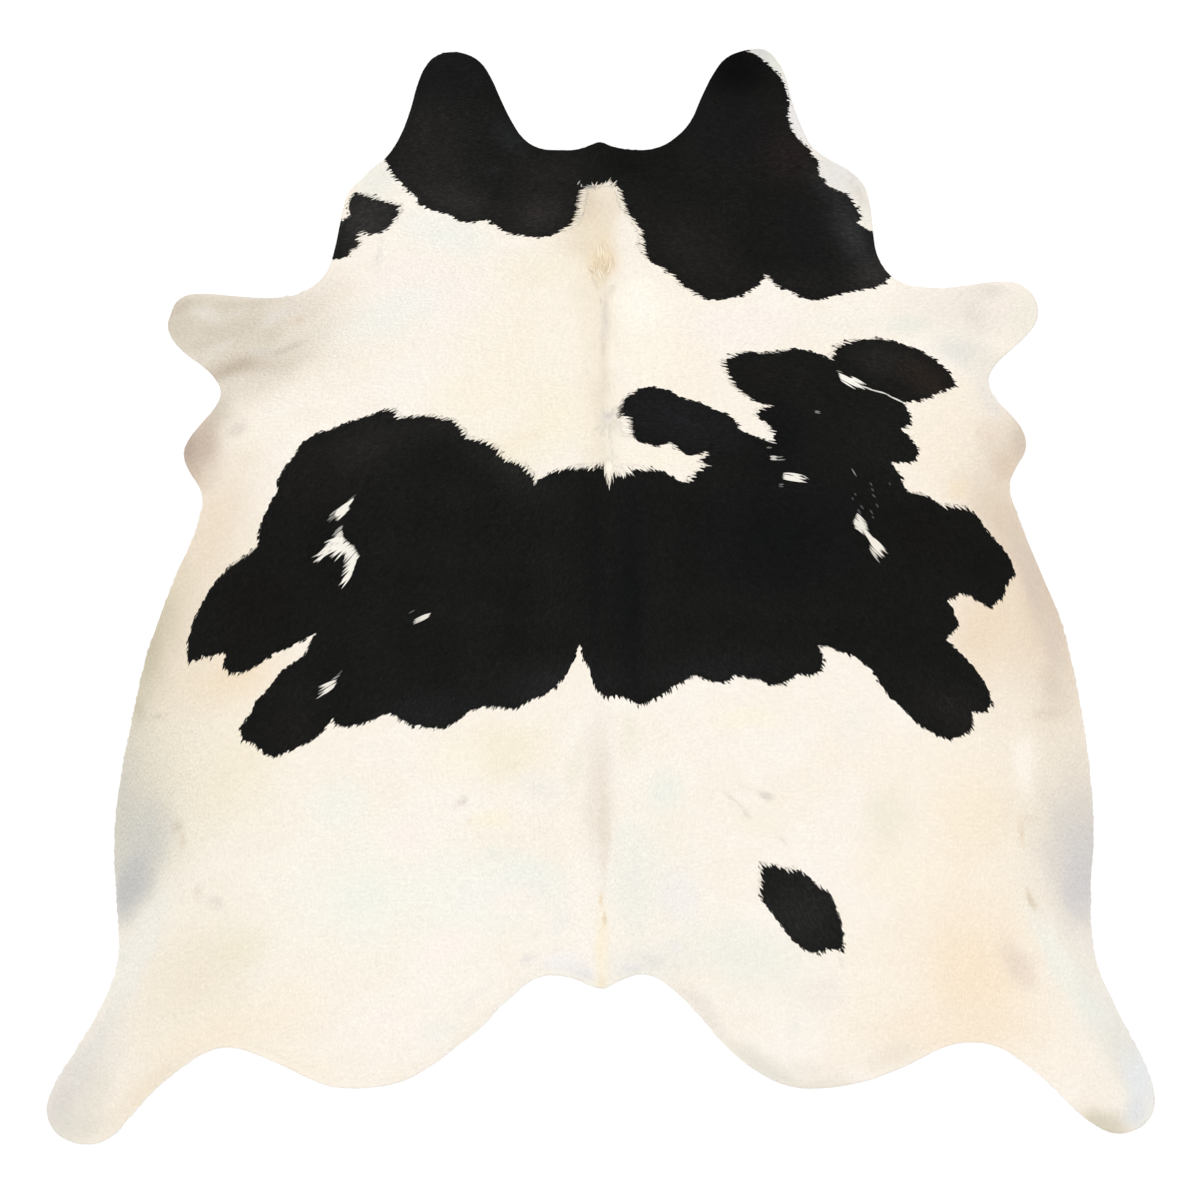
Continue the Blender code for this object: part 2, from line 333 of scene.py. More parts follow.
# Where the pale coat darkens over a wide stretch, towards the belly, the thighs and the blaze. The
# bands down the spine are painted shade of a slight ridge and of the parting, where roots show too.
# Each row is x, y, half length, half width, slant in degrees, colour, strength.
WASHES_AND_SHADE = {
    "blaze and parting": [
        (-22, 775, 80, 48, 92, (223, 207, 183), 0.95),
        (-30, 690, 90, 62, 90, (236, 222, 198), 0.85),
        # painted shade down the spine, of a slight ridge and of the parting, where roots show too: this
        # row and the next three
        (-8, 480, 330, 42, 90, (242, 229, 206), 0.75),
        (8, 505, 130, 14, 90, (228, 214, 198), 0.6),
        (4, 340, 120, 26, 90, (240, 228, 206), 0.6),
        (4, 440, 190, 17, 90, (231, 220, 202), 0.6),
        (0, 690, 66, 28, 90, (240, 223, 194), 0.6),
        (-160, 300, 170, 54, 20, (248, 237, 212), 0.7),
        (100, 520, 140, 120, 90, (254, 243, 224), 0.6),
    ],
    "left foreleg": [
        (-745, 535, 200, 110, 8, (213, 203, 185), 0.95),
        (-724, 455, 120, 24, 8, (193, 178, 158), 0.95),
        (-600, 500, 110, 34, 31, (226, 217, 202), 0.5),
        (-705, 422, 100, 34, 24, (226, 216, 203), 0.6),
        (-772, 368, 66, 40, 60, (207, 198, 182), 0.8),
        (-600, 578, 90, 36, 20, (228, 218, 204), 0.6),
    ],
    "left flank": [
        (-880, -60, 330, 170, 73, (230, 216, 194), 0.85),
        (-908, -110, 200, 46, 75, (192, 183, 158), 0.85),
        (-765, 150, 150, 66, 70, (236, 218, 194), 0.65),
        (-730, -160, 120, 66, 20, (242, 220, 188), 0.75),
        (-720, -350, 160, 100, 60, (246, 235, 210), 0.7),
        (-955, -400, 260, 200, 88, (228, 220, 198), 0.8),
        (-968, -420, 240, 80, 90, (203, 200, 190), 0.75),
    ],
    "left thigh": [
        (-850, -790, 220, 130, 50, (241, 230, 210), 0.7),
        (-1070, -1000, 190, 70, 60, (221, 215, 208), 0.9),
        (-908, -985, 170, 42, 45, (240, 226, 204), 0.75),
        (-680, -860, 160, 70, 10, (247, 233, 209), 0.6),
    ],
    "rump": [
        (-480, -600, 270, 200, 0, (247, 246, 233), 0.5),
        (-200, -310, 120, 80, 0, (247, 236, 211), 0.6),
        (110, -520, 150, 110, 90, (244, 240, 228), 0.5),
        (300, -740, 180, 90, -20, (242, 239, 229), 0.4),
        (90, -735, 120, 46, 8, (237, 235, 226), 0.65),
    ],
    "right flank": [
        (890, -10, 290, 180, 106, (233, 213, 188), 0.9),
        (890, 60, 220, 60, 107, (210, 193, 178), 0.75),
        (755, -70, 120, 76, 80, (238, 217, 190), 0.8),
        (905, -185, 66, 40, 104, (216, 200, 182), 0.7),
        (740, -430, 160, 140, 90, (250, 234, 206), 0.6),
        (575, -440, 90, 60, 80, (247, 235, 216), 0.7),
        (965, -420, 270, 160, 92, (233, 222, 204), 0.8),
        (978, -530, 170, 90, 92, (203, 200, 199), 0.85),
    ],
    "right elbow": [
        (830, 270, 150, 120, 80, (232, 217, 198), 0.7),
        (680, 300, 120, 90, 90, (250, 236, 213), 0.5),
        (800, 150, 110, 50, -55, (221, 204, 183), 0.85),
    ],
    "right thigh": [
        (745, -755, 190, 150, 100, (249, 230, 203), 0.95),
        (1050, -900, 220, 60, 118, (228, 226, 219), 0.8),
        (720, -865, 190, 54, 0, (248, 230, 205), 0.7),
        (540, -800, 90, 80, 60, (251, 240, 221), 0.55),
        (1008, -1062, 66, 40, -20, (213, 199, 177), 0.9),
    ],
}

# Stains, thin places and tints with a clearer edge, in the same columns, and painted shade in the
# parting behind the crest, where roots and skin show too. Other rows only make the coat greyer:
# towards the edges of the belly, on the hind legs, along the spine behind the saddle, and in light
# and dark bands across the left foreleg.
STAINS_AND_SHADE = {
    "blaze and crest": [
        (-24, 790, 36, 12, 80, (222, 208, 188), 0.6),
        (22, 775, 60, 18, 94, (234, 220, 198), 0.6),
        (5, 772, 44, 3, 88, (226, 210, 190), 0.5),
        (2, 663, 26, 26, 90, (239, 216, 181), 0.85),
        (3, 692, 26, 14, 90, (245, 227, 196), 0.6),
        (2, 640, 16, 12, 90, (238, 222, 192), 0.6),
        # painted shade in the parting, where roots and skin show too: this row, the next, and the row
        # at y 440
        (3, 565, 30, 5, 90, (212, 203, 194), 0.8),
        (4, 520, 40, 6, 90, (222, 212, 202), 0.7),
        (17, 534, 9, 2.4, -8, (210, 202, 186), 0.8),
        (10, 493, 12, 5, 90, (220, 202, 182), 0.8),
        (6, 440, 40, 4, 92, (230, 219, 202), 0.6),
    ],
    "whorl": [
        (16, 354, 24, 18, 60, (236, 229, 217), 0.7),
        (16, 356, 9, 7, 0, (204, 197, 193), 0.9),
        (18, 300, 50, 18, 90, (247, 239, 224), 0.7),
        (18, 290, 22, 2.4, 95, (228, 220, 205), 0.7),
    ],
    "neck": [
        (81, 576, 70, 60, 90, (255, 251, 238), 0.9),
        (91, 470, 80, 50, 90, (253, 246, 231), 0.7),
        (-110, 650, 110, 44, 0, (249, 240, 220), 0.7),
        (-161, 500, 150, 110, 0, (251, 242, 225), 0.8),
        (-250, 400, 120, 60, 0, (252, 243, 224), 0.8),
        (-90, 380, 60, 60, 0, (250, 241, 219), 0.7),
        (-361, 613, 120, 80, 0, (251, 242, 235), 0.7),
        (-307, 725, 100, 38, -15, (243, 243, 235), 0.8),
        (-417, 563, 110, 50, 25, (243, 243, 235), 0.7),
        (-439, 835, 56, 44, 35, (241, 239, 230), 0.9),
        (-445, 676, 20, 7, 92, (226, 219, 213), 0.85),
        (-443, 708, 26, 3, 88, (236, 228, 222), 0.6),
        (300, 540, 120, 40, 0, (251, 243, 235), 0.8),
        (480, 546, 90, 20, 0, (245, 240, 231), 0.6),
    ],
    "right neck flap": [
        (318, 1086, 44, 22, -20, (218, 216, 212), 0.95),
        (352, 1050, 40, 24, -60, (226, 228, 219), 0.9),
        (385, 960, 90, 28, -70, (236, 233, 230), 1),
        (474, 842, 84, 48, -32, (234, 230, 225), 1),
        (520, 800, 40, 14, -60, (220, 214, 203), 0.7),
        (524, 752, 40, 24, -80, (240, 236, 225), 0.9),
    ],
    "left foreleg": [
        (-848, 543, 34, 54, 0, (209, 199, 181), 0.7),
        (-815, 588, 36, 14, 0, (214, 205, 187), 0.8),
        (-720, 582, 66, 12, 4, (214, 204, 187), 0.7),
        (-716, 544, 44, 12, 4, (216, 205, 188), 0.7),
        (-660, 520, 44, 15, 28, (217, 207, 189), 0.7),
        (-795, 505, 48, 13, 10, (215, 205, 190), 0.7),
        (-788, 560, 36, 17, -22, (229, 222, 211), 0.85),
        (-730, 566, 36, 9, 30, (226, 218, 205), 0.7),
        (-646, 558, 48, 12, 24, (229, 221, 210), 0.85),
        (-764, 497, 46, 13, 28, (227, 219, 206), 0.8),
        (-677, 492, 26, 11, 20, (219, 213, 200), 0.8),
        (-630, 498, 42, 8, 14, (208, 197, 184), 0.7),
        (-842, 584, 34, 16, 45, (205, 193, 175), 0.75),
        (-604, 550, 14, 11, 0, (230, 207, 189), 0.75),
        (-590, 370, 50, 3.4, 8, (236, 228, 214), 0.5),
    ],
    "left elbow": [
        (-808, 300, 78, 56, 80, (200, 181, 164), 0.9),
        (-836, 285, 60, 26, 84, (182, 164, 151), 0.75),
        (-812, 246, 34, 22, 110, (204, 185, 166), 0.7),
        (-785, 236, 40, 22, 70, (228, 212, 194), 0.6),
        (-728, 336, 22, 10, 30, (221, 209, 198), 0.7),
        (-716, 350, 16, 5, 60, (232, 222, 212), 0.5),
    ],
    "left flank": [
        (-880, -238, 26, 5, 6, (204, 194, 172), 0.6),
        (-925, -225, 14, 30, 0, (196, 187, 164), 0.5),
    ],
    "left belly": [
        (-912, -500, 112, 60, 75, (205, 203, 196), 0.8),
        (-945, -588, 76, 40, 68, (190, 190, 189), 0.8),
        (-878, -438, 26, 8, 60, (224, 215, 196), 0.5),
        (-847, -462, 13, 10, 20, (206, 195, 178), 0.7),
        (-838, -488, 20, 7, 84, (224, 209, 188), 0.6),
        (-925, -712, 150, 36, 64, (240, 237, 228), 0.85),
        (-953, -725, 12, 6, 30, (221, 221, 214), 0.7),
        (-800, -592, 20, 8, 110, (233, 220, 205), 0.8),
        (-772, -612, 20, 8, -20, (227, 219, 209), 0.8),
    ],
    "left thigh and shank": [
        (-790, -745, 110, 76, 24, (240, 230, 210), 0.7),
        (-717, -703, 60, 44, 0, (241, 234, 210), 0.6),
        (-780, -880, 130, 34, 14, (248, 236, 215), 0.7),
        (-1010, -892, 110, 22, 60, (229, 226, 218), 0.5),
        (-1076, -1040, 30, 40, 0, (222, 217, 206), 0.4),
        (-1006, -985, 70, 30, 62, (231, 226, 211), 0.75),
        (-1035, -1058, 62, 36, 15, (227, 222, 209), 0.85),
        (-600, -935, 90, 30, -20, (250, 238, 219), 0.6),
        (-620, -820, 110, 60, 30, (252, 241, 224), 0.6),
    ],
    "rump, left": [
        (-179, -305, 66, 52, 0, (248, 239, 218), 0.85),
        (-290, -330, 60, 50, 0, (253, 245, 228), 0.7),
        (-215, -447, 44, 20, -10, (252, 243, 221), 0.85),
        (-117, -385, 56, 34, -20, (244, 239, 231), 0.8),
        (-223, -513, 18, 11, 20, (236, 234, 225), 0.7),
        (-143, -563, 86, 54, -15, (241, 241, 232), 0.85),
        (-250, -600, 140, 100, 0, (247, 246, 237), 0.75),
        (-473, -600, 90, 70, 0, (245, 245, 235), 0.75),
        (-525, -411, 66, 54, 0, (245, 244, 234), 0.75),
        (-390, -480, 60, 60, 0, (253, 244, 235), 0.7),
        (-310, -700, 90, 40, 20, (254, 245, 237), 0.7),
        (-170, -610, 50, 30, 20, (253, 243, 235), 0.7),
        (-400, -860, 100, 60, -20, (253, 244, 234), 0.7),
        (-320, -870, 60, 34, 30, (244, 243, 236), 0.5),
        (-279, -405, 11, 8, 20, (212, 199, 190), 0.8),
        (-274, -403, 5, 4, 0, (240, 230, 220), 0.8),
        (-262, -447, 10, 4, 20, (244, 225, 196), 0.7),
        (-178, -339, 6, 4, 30, (226, 214, 190), 0.7),
        (-143, -727, 18, 9, 25, (230, 227, 223), 0.85),
        (-128, -678, 14, 5, 30, (232, 230, 224), 0.6),
        (-81, -731, 52, 24, 0, (242, 240, 238), 0.7),
        (-37, -751, 26, 13, -20, (233, 230, 229), 0.7),
        (-80, -650, 40, 24, 70, (242, 239, 233), 0.6),
        (-250, -800, 60, 12, 42, (244, 239, 233), 0.5),
    ],
    "spine": [
        (-4, -390, 170, 34, 90, (239, 230, 217), 0.9),
        (6, -470, 120, 12, 90, (233, 221, 205), 0.6),
        (-50, -340, 60, 18, 80, (241, 236, 219), 0.6),
        (3, -700, 84, 17, 90, (252, 241, 217), 0.95),
        (1, -611, 13, 5, 96, (240, 217, 184), 0.9),
        (8, -648, 11, 5, 84, (223, 205, 172), 0.95),
        (1, -772, 16, 10, 90, (244, 229, 203), 0.8),
    ],
    "rump, right": [
        (59, -277, 56, 22, 90, (243, 238, 221), 0.8),
        (130, -385, 44, 36, 70, (240, 241, 231), 0.8),
        (50, -470, 30, 22, 90, (243, 243, 234), 0.6),
        (67, -575, 110, 52, 90, (241, 240, 230), 0.8),
        (157, -600, 66, 48, 90, (244, 240, 235), 0.8),
        (290, -712, 120, 60, -14, (241, 240, 229), 0.85),
        (230, -480, 80, 40, -20, (251, 243, 230), 0.5),
        (290, -243, 76, 30, 0, (252, 245, 225), 0.8),
        (310, -450, 70, 34, -20, (248, 241, 225), 0.8),
        (335, -398, 15, 8, -20, (214, 206, 195), 0.85),
        (318, -388, 7, 5, 0, (226, 217, 206), 0.7),
        (288, -429, 8, 5, -30, (214, 204, 195), 0.85),
        (262, -408, 22, 2.6, -38, (222, 212, 200), 0.7),
        (290, -382, 26, 2.6, 30, (232, 222, 208), 0.5),
        (363, -487, 6, 4, -30, (226, 214, 206), 0.8),
        (60, -746, 28, 11, 0, (230, 226, 225), 0.7),
        (104, -728, 26, 14, -20, (229, 226, 222), 0.7),
        (157, -741, 10, 5, -40, (226, 219, 214), 0.45),
        (146, -704, 16, 10, -30, (238, 235, 233), 0.6),
        (201, -822, 80, 20, -47, (236, 228, 217), 0.75),
        (441, -793, 54, 42, 0, (244, 236, 225), 0.8),
        (325, -940, 100, 26, -32, (225, 220, 207), 0.7),
        (420, -950, 80, 22, -12, (235, 228, 216), 0.5),
        (450, -982, 100, 16, 0, (226, 218, 204), 0.6),
        (387, -865, 44, 16, 80, (242, 239, 230), 0.5),
        (288, -850, 60, 26, -20, (249, 240, 226), 0.7),
        (483, -731, 15, 3.6, 92, (204, 198, 192), 0.5),
        (470, -930, 70, 34, 0, (247, 236, 220), 0.35),
    ],
    "right thigh": [
        (835, -738, 64, 30, 122, (235, 219, 202), 0.9),
        (640, -860, 110, 44, 10, (249, 235, 215), 0.85),
        (583, -915, 60, 26, 20, (241, 229, 212), 0.8),
        (571, -439, 66, 46, 80, (242, 235, 218), 0.75),
        (600, -560, 100, 60, 0, (252, 241, 222), 0.7),
        (511, -270, 44, 56, 0, (244, 239, 231), 0.6),
        (908, -722, 120, 26, 116, (242, 241, 230), 0.85),
        (978, -815, 90, 26, 116, (237, 237, 227), 0.75),
        (915, -690, 60, 8, 112, (246, 244, 234), 0.5),
        (864, -608, 22, 6, 112, (219, 204, 180), 0.8),
    ],
    "right shank": [
        (1075, -967, 70, 30, 105, (231, 233, 234), 0.95),
        (1006, -1050, 36, 27, -20, (217, 210, 190), 0.9),
        (1066, -1030, 34, 30, 0, (224, 227, 228), 0.85),
        (990, -985, 60, 34, 120, (248, 238, 226), 0.7),
    ],
    "right belly": [
        (938, -505, 100, 50, 94, (218, 213, 206), 0.6),
        (955, -575, 74, 34, 96, (210, 206, 207), 0.7),
        (847, -335, 66, 30, 90, (253, 245, 233), 0.9),
        (843, -470, 34, 7, 91, (231, 213, 188), 0.7),
        (858, -443, 18, 4, -6, (222, 210, 193), 0.6),
    ],
    "right flank": [
        (856, 40, 110, 22, 107, (213, 198, 184), 0.6),
        (905, -95, 60, 24, 104, (214, 201, 190), 0.5),
        (893, -234, 36, 6, 6, (216, 200, 182), 0.6),
    ],
    "right elbow": [
        (806, 295, 80, 46, 80, (228, 214, 196), 0.6),
        (840, 306, 52, 24, 84, (208, 192, 174), 0.65),
        (772, 326, 28, 30, 90, (236, 218, 199), 0.5),
        (808, 262, 40, 26, 80, (222, 202, 181), 0.75),
        (780, 394, 44, 24, 120, (235, 228, 219), 0.8),
        (714, 213, 30, 18, 40, (245, 227, 200), 0.75),
    ],
    "right foreleg": [
        (740, 570, 150, 66, 0, (242, 234, 223), 0.9),
        (845, 560, 34, 50, 0, (241, 237, 223), 0.9),
        (780, 614, 44, 16, 0, (230, 222, 211), 0.7),
        (748, 562, 30, 40, 20, (231, 223, 212), 0.6),
        (800, 574, 26, 20, 0, (246, 234, 224), 0.6),
        (722, 490, 56, 32, -10, (229, 227, 220), 0.8),
        (615, 541, 44, 20, 0, (237, 236, 225), 0.85),
        (765, 460, 50, 36, 110, (238, 231, 220), 0.8),
    ],
    "ribs": [
        (559, -307, 120, 80, -20, (252, 242, 226), 0.4),
        (110, 280, 80, 20, -14, (252, 244, 226), 0.6),
        (-100, 300, 110, 20, 16, (250, 243, 226), 0.6),
        (-600, 350, 120, 30, 16, (250, 243, 227), 0.6),
    ],
}

# Soft tints and painted sheen on the black coat, in the same columns: brownish where it is
# bleached, painted grey where it shines, and deeper black between them.
BLACK_TINTS_AND_SHEEN = {
    "neck": [
        (-340, 890, 120, 180, 12, (39, 38, 37), 0.9),
        (-310, 1050, 90, 60, 0, (28, 27, 28), 0.85),
        (-180, 920, 36, 50, 30, (41, 42, 43), 0.8),
        (-217, 853, 20, 14, 0, (40, 40, 41), 0.7),
        (-290, 790, 90, 40, -15, (47, 46, 44), 0.9),
        (-120, 765, 80, 56, 15, (48, 45, 44), 0.95),
        (-100, 850, 90, 50, 0, (38, 37, 35), 0.85),
        (50, 865, 56, 36, 0, (21, 21, 20), 0.9),
        (270, 1055, 84, 60, 0, (12, 12, 12), 0.95),
        (260, 930, 90, 70, 0, (28, 27, 28), 0.8),
        (375, 880, 60, 70, 20, (39, 33, 32), 0.95),
        (180, 690, 130, 80, -40, (37, 35, 33), 0.9),
        (400, 730, 50, 110, 15, (27, 27, 27), 0.9),
        (502, 728, 40, 110, 25, (51, 51, 52), 0.95),
        (450, 830, 44, 30, -40, (46, 45, 45), 0.9),
        (400, 630, 110, 34, 0, (34, 33, 32), 0.8),
        (550, 645, 56, 36, 20, (54, 51, 50), 0.9),
        (-465, 750, 90, 90, 0, (54, 53, 51), 0.95),
    ],
    "saddle": [
        (-260, 350, 170, 34, 6, (38, 37, 35), 0.9),
        (-490, 290, 130, 60, 25, (40, 39, 37), 0.9),
        (-180, 260, 110, 44, -35, (38, 38, 36), 0.9),
        (-560, 220, 90, 110, 40, (30, 29, 27), 0.8),
        (-690, -20, 130, 110, 50, (25, 24, 23), 0.9),
        (-620, -260, 90, 70, 40, (31, 30, 29), 0.8),
        (-80, -180, 140, 56, 10, (40, 40, 40), 0.85),
        (-340, -235, 140, 54, 5, (35, 35, 35), 0.85),
        (210, -155, 160, 44, 5, (34, 34, 34), 0.8),
        (-550, 95, 60, 90, 0, (23, 23, 22), 0.7),
        (-10, 60, 22, 260, 0, (23, 23, 23), 0.7),
        (60, 20, 38, 260, 0, (20, 22, 21), 0.85),
        (360, 120, 200, 130, 0, (20, 21, 21), 0.85),
        (150, 360, 130, 56, -20, (34, 33, 35), 0.9),
        (350, 440, 120, 40, -5, (30, 29, 28), 0.8),
        (560, 470, 80, 40, -10, (40, 39, 37), 0.9),
        (650, 435, 70, 40, -35, (46, 39, 34), 0.9),
        (360, 320, 60, 80, 0, (20, 21, 21), 0.9),
        (540, 320, 80, 80, 0, (30, 30, 27), 0.8),
        (640, 130, 110, 80, -20, (24, 23, 22), 0.9),
        (770, 70, 70, 90, 20, (23, 23, 20), 0.85),
        (600, -60, 160, 90, -35, (25, 25, 24), 0.9),
        (700, -225, 90, 50, -30, (36, 35, 33), 0.85),
    ],
    "rump spot": [
        (400, -630, 110, 110, 0, (41, 41, 40), 0.95),
    ],
}


def undercoat_top(coat_top):
    """How high the undercoat reaches under a coat of that height."""
    skin = skin_top(coat_top)
    return skin + (coat_top - skin) * UNDERCOAT_SHARE


def inside(points, outline):
    """Which of the points lie inside the closed outline."""
    within = np.zeros(len(points), bool)
    x, y = points.T
    for (x1, y1), (x2, y2) in zip(outline, np.roll(outline, -1, axis=0)):
        if y1 != y2:
            crosses = (y1 > y) != (y2 > y)
            within ^= crosses & (x < (x2 - x1) * (y - y1) / (y2 - y1) + x1)
    return within


def edge_distance(points, outline):
    """How far each of the points lies from the outline."""
    nearest = np.full(len(points), np.inf)
    for start, end in zip(outline, np.roll(outline, -1, axis=0)):
        along = end - start
        share = np.clip((points - start) @ along / (along @ along), 0, 1)
        gap = points - start - share[:, None] * along
        nearest = np.minimum(nearest, np.hypot(*gap.T))
    return nearest


def charted(chart):
    """The chart's outlines in metres. Stretches named "patch, part" join up into one patch."""
    joined = {}
    for name, stretch in chart.items():
        joined.setdefault(name.split(",")[0], []).extend(stretch)
    return [np.array(outline, float) * MM for outline in joined.values()]


black_patches = charted(BLACK_PATCHES)


def in_any(points, outlines):
    """Which of the points lie inside at least one of the outlines."""
    return np.any([inside(points, outline) for outline in outlines], axis=0)


def blackness(points):
    """How deep each point lies in a black patch, in metres, and below zero outside them."""
    depth = np.min([edge_distance(points, outline) for outline in black_patches], axis=0)
    return np.where(in_any(points, black_patches), depth, -depth)


def ripple(points, wavelength, seed):
    """A smooth uneven field from about -1 to 1, with waves of about that length."""
    chance = np.random.default_rng(seed)
    total = np.zeros(len(points))
    for _ in range(RIPPLE_WAVES):
        turn = chance.uniform(0, 2 * math.pi)
        pace = 2 * math.pi / (wavelength * chance.uniform(0.6, 1.6))
        way = np.array([math.cos(turn), math.sin(turn)])
        total += np.sin(points @ way * pace + chance.uniform(0, 2 * math.pi))
    return total / RIPPLE_HEIGHT


def marked(points, colours, chart, firmness):
    """The colours, 0 to 255, with each mark of the chart laid over them, the firmer the sharper:
    stains, tints, painted shade and painted sheen.
    """
    marks = [row for rows in chart.values() for row in rows]
    for x, y, length, width, slant, colour, strength in marks:
        turn = math.radians(slant)
        away = points - np.array([x, y]) * MM
        along = (away @ (math.cos(turn), math.sin(turn))) / (length * MM)
        across = (away @ (-math.sin(turn), math.cos(turn))) / (width * MM)
        share = strength * np.exp(-MARK_FADE * np.hypot(along, across) ** firmness)
        colours = colours + share[:, None] * (np.array(colour) - colours)
    return colours


def as_light(colours):
    """Colours of 0 to 255 as the linear values that a shader mixes."""
    shown = np.asarray(colours) / 255
    linear = np.where(shown < 0.04045, shown / 12.92, ((shown + 0.055) / 1.055) ** 2.4)
    return linear / CARD_GAIN


def pale_colour(points):
    """The pale coat's colour at each point, with its stains and its painted shade along the spine, in
    linear values.
    """
    wobble = np.stack([ripple(points, 90 * MM, 3), ripple(points, 90 * MM, 4)], axis=1)
    colours = np.full((len(points), 3), PALE_COAT, float)
    colours += ripple(points, 260 * MM, 5)[:, None] * (0.6, 1.2, 3.0)
    colours += ripple(points, 70 * MM, 6)[:, None] * (0.5, 0.8, 1.6)
    places = points + wobble * EDGE_WOBBLE
    washed_and_shaded = marked(places, colours, WASHES_AND_SHADE, SOFT_MARK_FIRMNESS)
    return as_light(marked(places, washed_and_shaded, STAINS_AND_SHADE, CLEAR_MARK_FIRMNESS))


def black_colour(points):
    """The black coat's colour at each point, with its tints and painted sheen, in linear values."""
    colours = np.full((len(points), 3), BLACK_COAT, float)
    colours += ripple(points, 120 * MM, 7)[:, None] * 1.5
    tinted_and_sheened = marked(points, colours, BLACK_TINTS_AND_SHEEN, SOFT_MARK_FIRMNESS)
    return np.maximum(as_light(tinted_and_sheened) - BLACK_GLOSS, DARKEST)


heights = BVHTree.FromBMesh(rug_solid)
ABOVE = 0.1  # metres over the floor, from where the rug's height is felt
DOWN = Vector((0, 0, -1))


def coat_top(points):
    """The height of the rug's solid over each point, and 0 beside the rug."""
    hits = [heights.ray_cast(Vector((x, y, ABOVE)), DOWN)[0] for x, y in points]
    return np.array([hit.z if hit else 0 for hit in hits])


def strewn(spacing, seed, jitter=0.8):
    """Points strewn over the rug, one in each square of a grid of that spacing."""
    low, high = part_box("hide")
    columns = np.arange(low.x, high.x, spacing)
    rows = np.arange(low.y, high.y, spacing)
    grid = np.stack(np.meshgrid(columns, rows), axis=-1).reshape(-1, 2)
    shift = np.random.default_rng(seed).uniform(-jitter / 2, jitter / 2, grid.shape)
    points = grid + (shift + 0.5) * spacing
    return points[coat_top(points) > 0]


def flat_plan(spacing, setback):
    """The rug's plan as a flat mesh facing up, held back from the knife cut by the setback."""
    cut = [edge for edge in rug_solid.edges if sum(f.normal.z < -0.9 for f in edge.link_faces) == 1]
    corners = {vertex: i for i, vertex in enumerate(dict.fromkeys(v for e in cut for v in e.verts))}
    rim = KDTree(len(corners))
    for vertex, i in corners.items():
        rim.insert(vertex.co.xy.to_3d(), i)
    rim.balance()
    field = [Vector(p) for p in strewn(spacing, 8, jitter=0.5)]
    field = [p for p in field if rim.find(p.to_3d())[2] > spacing / 2]
    edges = [tuple(corners[v] for v in edge.verts) for edge in cut]
    points, _, faces, *_ = delaunay_2d_cdt([v.co.xy for v in corners] + field, edges, [], 1, 1e-6)
    plan = bmesh.new()
    vertices = [plan.verts.new(p.to_3d()) for p in points]
    for face in faces:
        plan.faces.new([vertices[i] for i in face])
    ring = bmesh.ops.inset_region(plan, faces=plan.faces[:], thickness=setback, use_boundary=True)
    bmesh.ops.delete(plan, geom=ring["faces"], context="FACES")
    return plan


def set_colours(mesh, name, colours):
    """Gives each vertex of the mesh its colour, as an attribute of that name."""
    values = mesh.attributes.new(name, "FLOAT_COLOR", "POINT").data
    values.foreach_set("color", np.c_[colours, np.ones(len(colours))].ravel())


def set_plan_map(mesh):
    """The map for the exported pictures: the rug seen from straight above."""
    low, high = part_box("hide")
    side = max(high.x - low.x, high.y - low.y)
    corners = np.empty(len(mesh.loops), np.int32)
    mesh.loops.foreach_get("vertex_index", corners)
    places = np.empty(len(mesh.vertices) * 3)
    mesh.vertices.foreach_get("co", places)
    plan = (places.reshape(-1, 3)[corners, :2] - (low.x, low.y)) / (side * MAP_SIZE) + MAP_MARGIN
    mesh.uv_layers.new(name="OFBake").data.foreach_set("uv", plan.ravel())


def fine_hair_group():
    """Shades a colour with fine hair: streaks along the strand, and painted shade towards its root."""
    group = bpy.data.node_groups.new("fine_hair", "ShaderNodeTree")
    for name, kind in (("Strand", "Vector"), ("Colour", "Color"), ("Fineness", "Float"),
                       ("Contrast", "Float"), ("Root Shade", "Float"), ("Smoothness", "Float")):
        group.interface.new_socket(name, in_out="INPUT", socket_type="NodeSocket" + kind)
    for name, kind in (("Colour", "Color"), ("Roughness", "Float"), ("Height", "Float")):
        group.interface.new_socket(name, in_out="OUTPUT", socket_type="NodeSocket" + kind)
    given = group.nodes.new("NodeGroupInput").outputs
    result = group.nodes.new("NodeGroupOutput").inputs
    strand = node(group, "SeparateXYZ", {0: given["Strand"]})
    across = node(group, "Math", {0: strand.outputs["X"], 1: given["Fineness"]}, operation="MULTIPLY")
    lane = node(group, "CombineXYZ", {"X": across.outputs[0], "Y": strand.outputs["Y"],
                                      "Z": strand.outputs["Z"]})
    streaks = node(group, "TexNoise", {"Vector": lane.outputs[0], "Scale": 1.0, "Detail": 2.0})
    least = node(group, "Math", {0: 1.0, 1: given["Contrast"]}, operation="SUBTRACT")
    most = node(group, "Math", {0: 1.0, 1: given["Contrast"]}, operation="ADD")
    shade = node(group, "MapRange", {"Value": streaks.outputs["Fac"], "From Min": 0.25,
                                     "From Max": 0.75, "To Min": least.outputs[0],
                                     "To Max": most.outputs[0]})
    # painted shade towards the root, where the coat above shadows it
    rooted = node(group, "MapRange", {"Value": strand.outputs["Y"], "From Min": 0.0, "From Max": 0.6,
                                      "To Min": given["Root Shade"], "To Max": 1.0})
    both = node(group, "Math", {0: shade.outputs[0], 1: rooted.outputs[0]}, operation="MULTIPLY")
    shaded = node(group, "VectorMath", {0: given["Colour"], "Scale": both.outputs[0]},
                  operation="SCALE")
    rough = node(group, "MapRange", {"Value": streaks.outputs["Fac"], "From Min": 0.25,
                                     "From Max": 0.75, "To Min": 0.9,
                                     "To Max": given["Smoothness"]})
    group.links.new(shaded.outputs[0], result["Colour"])
    group.links.new(rough.outputs[0], result["Roughness"])
    group.links.new(streaks.outputs["Fac"], result["Height"])
    return group


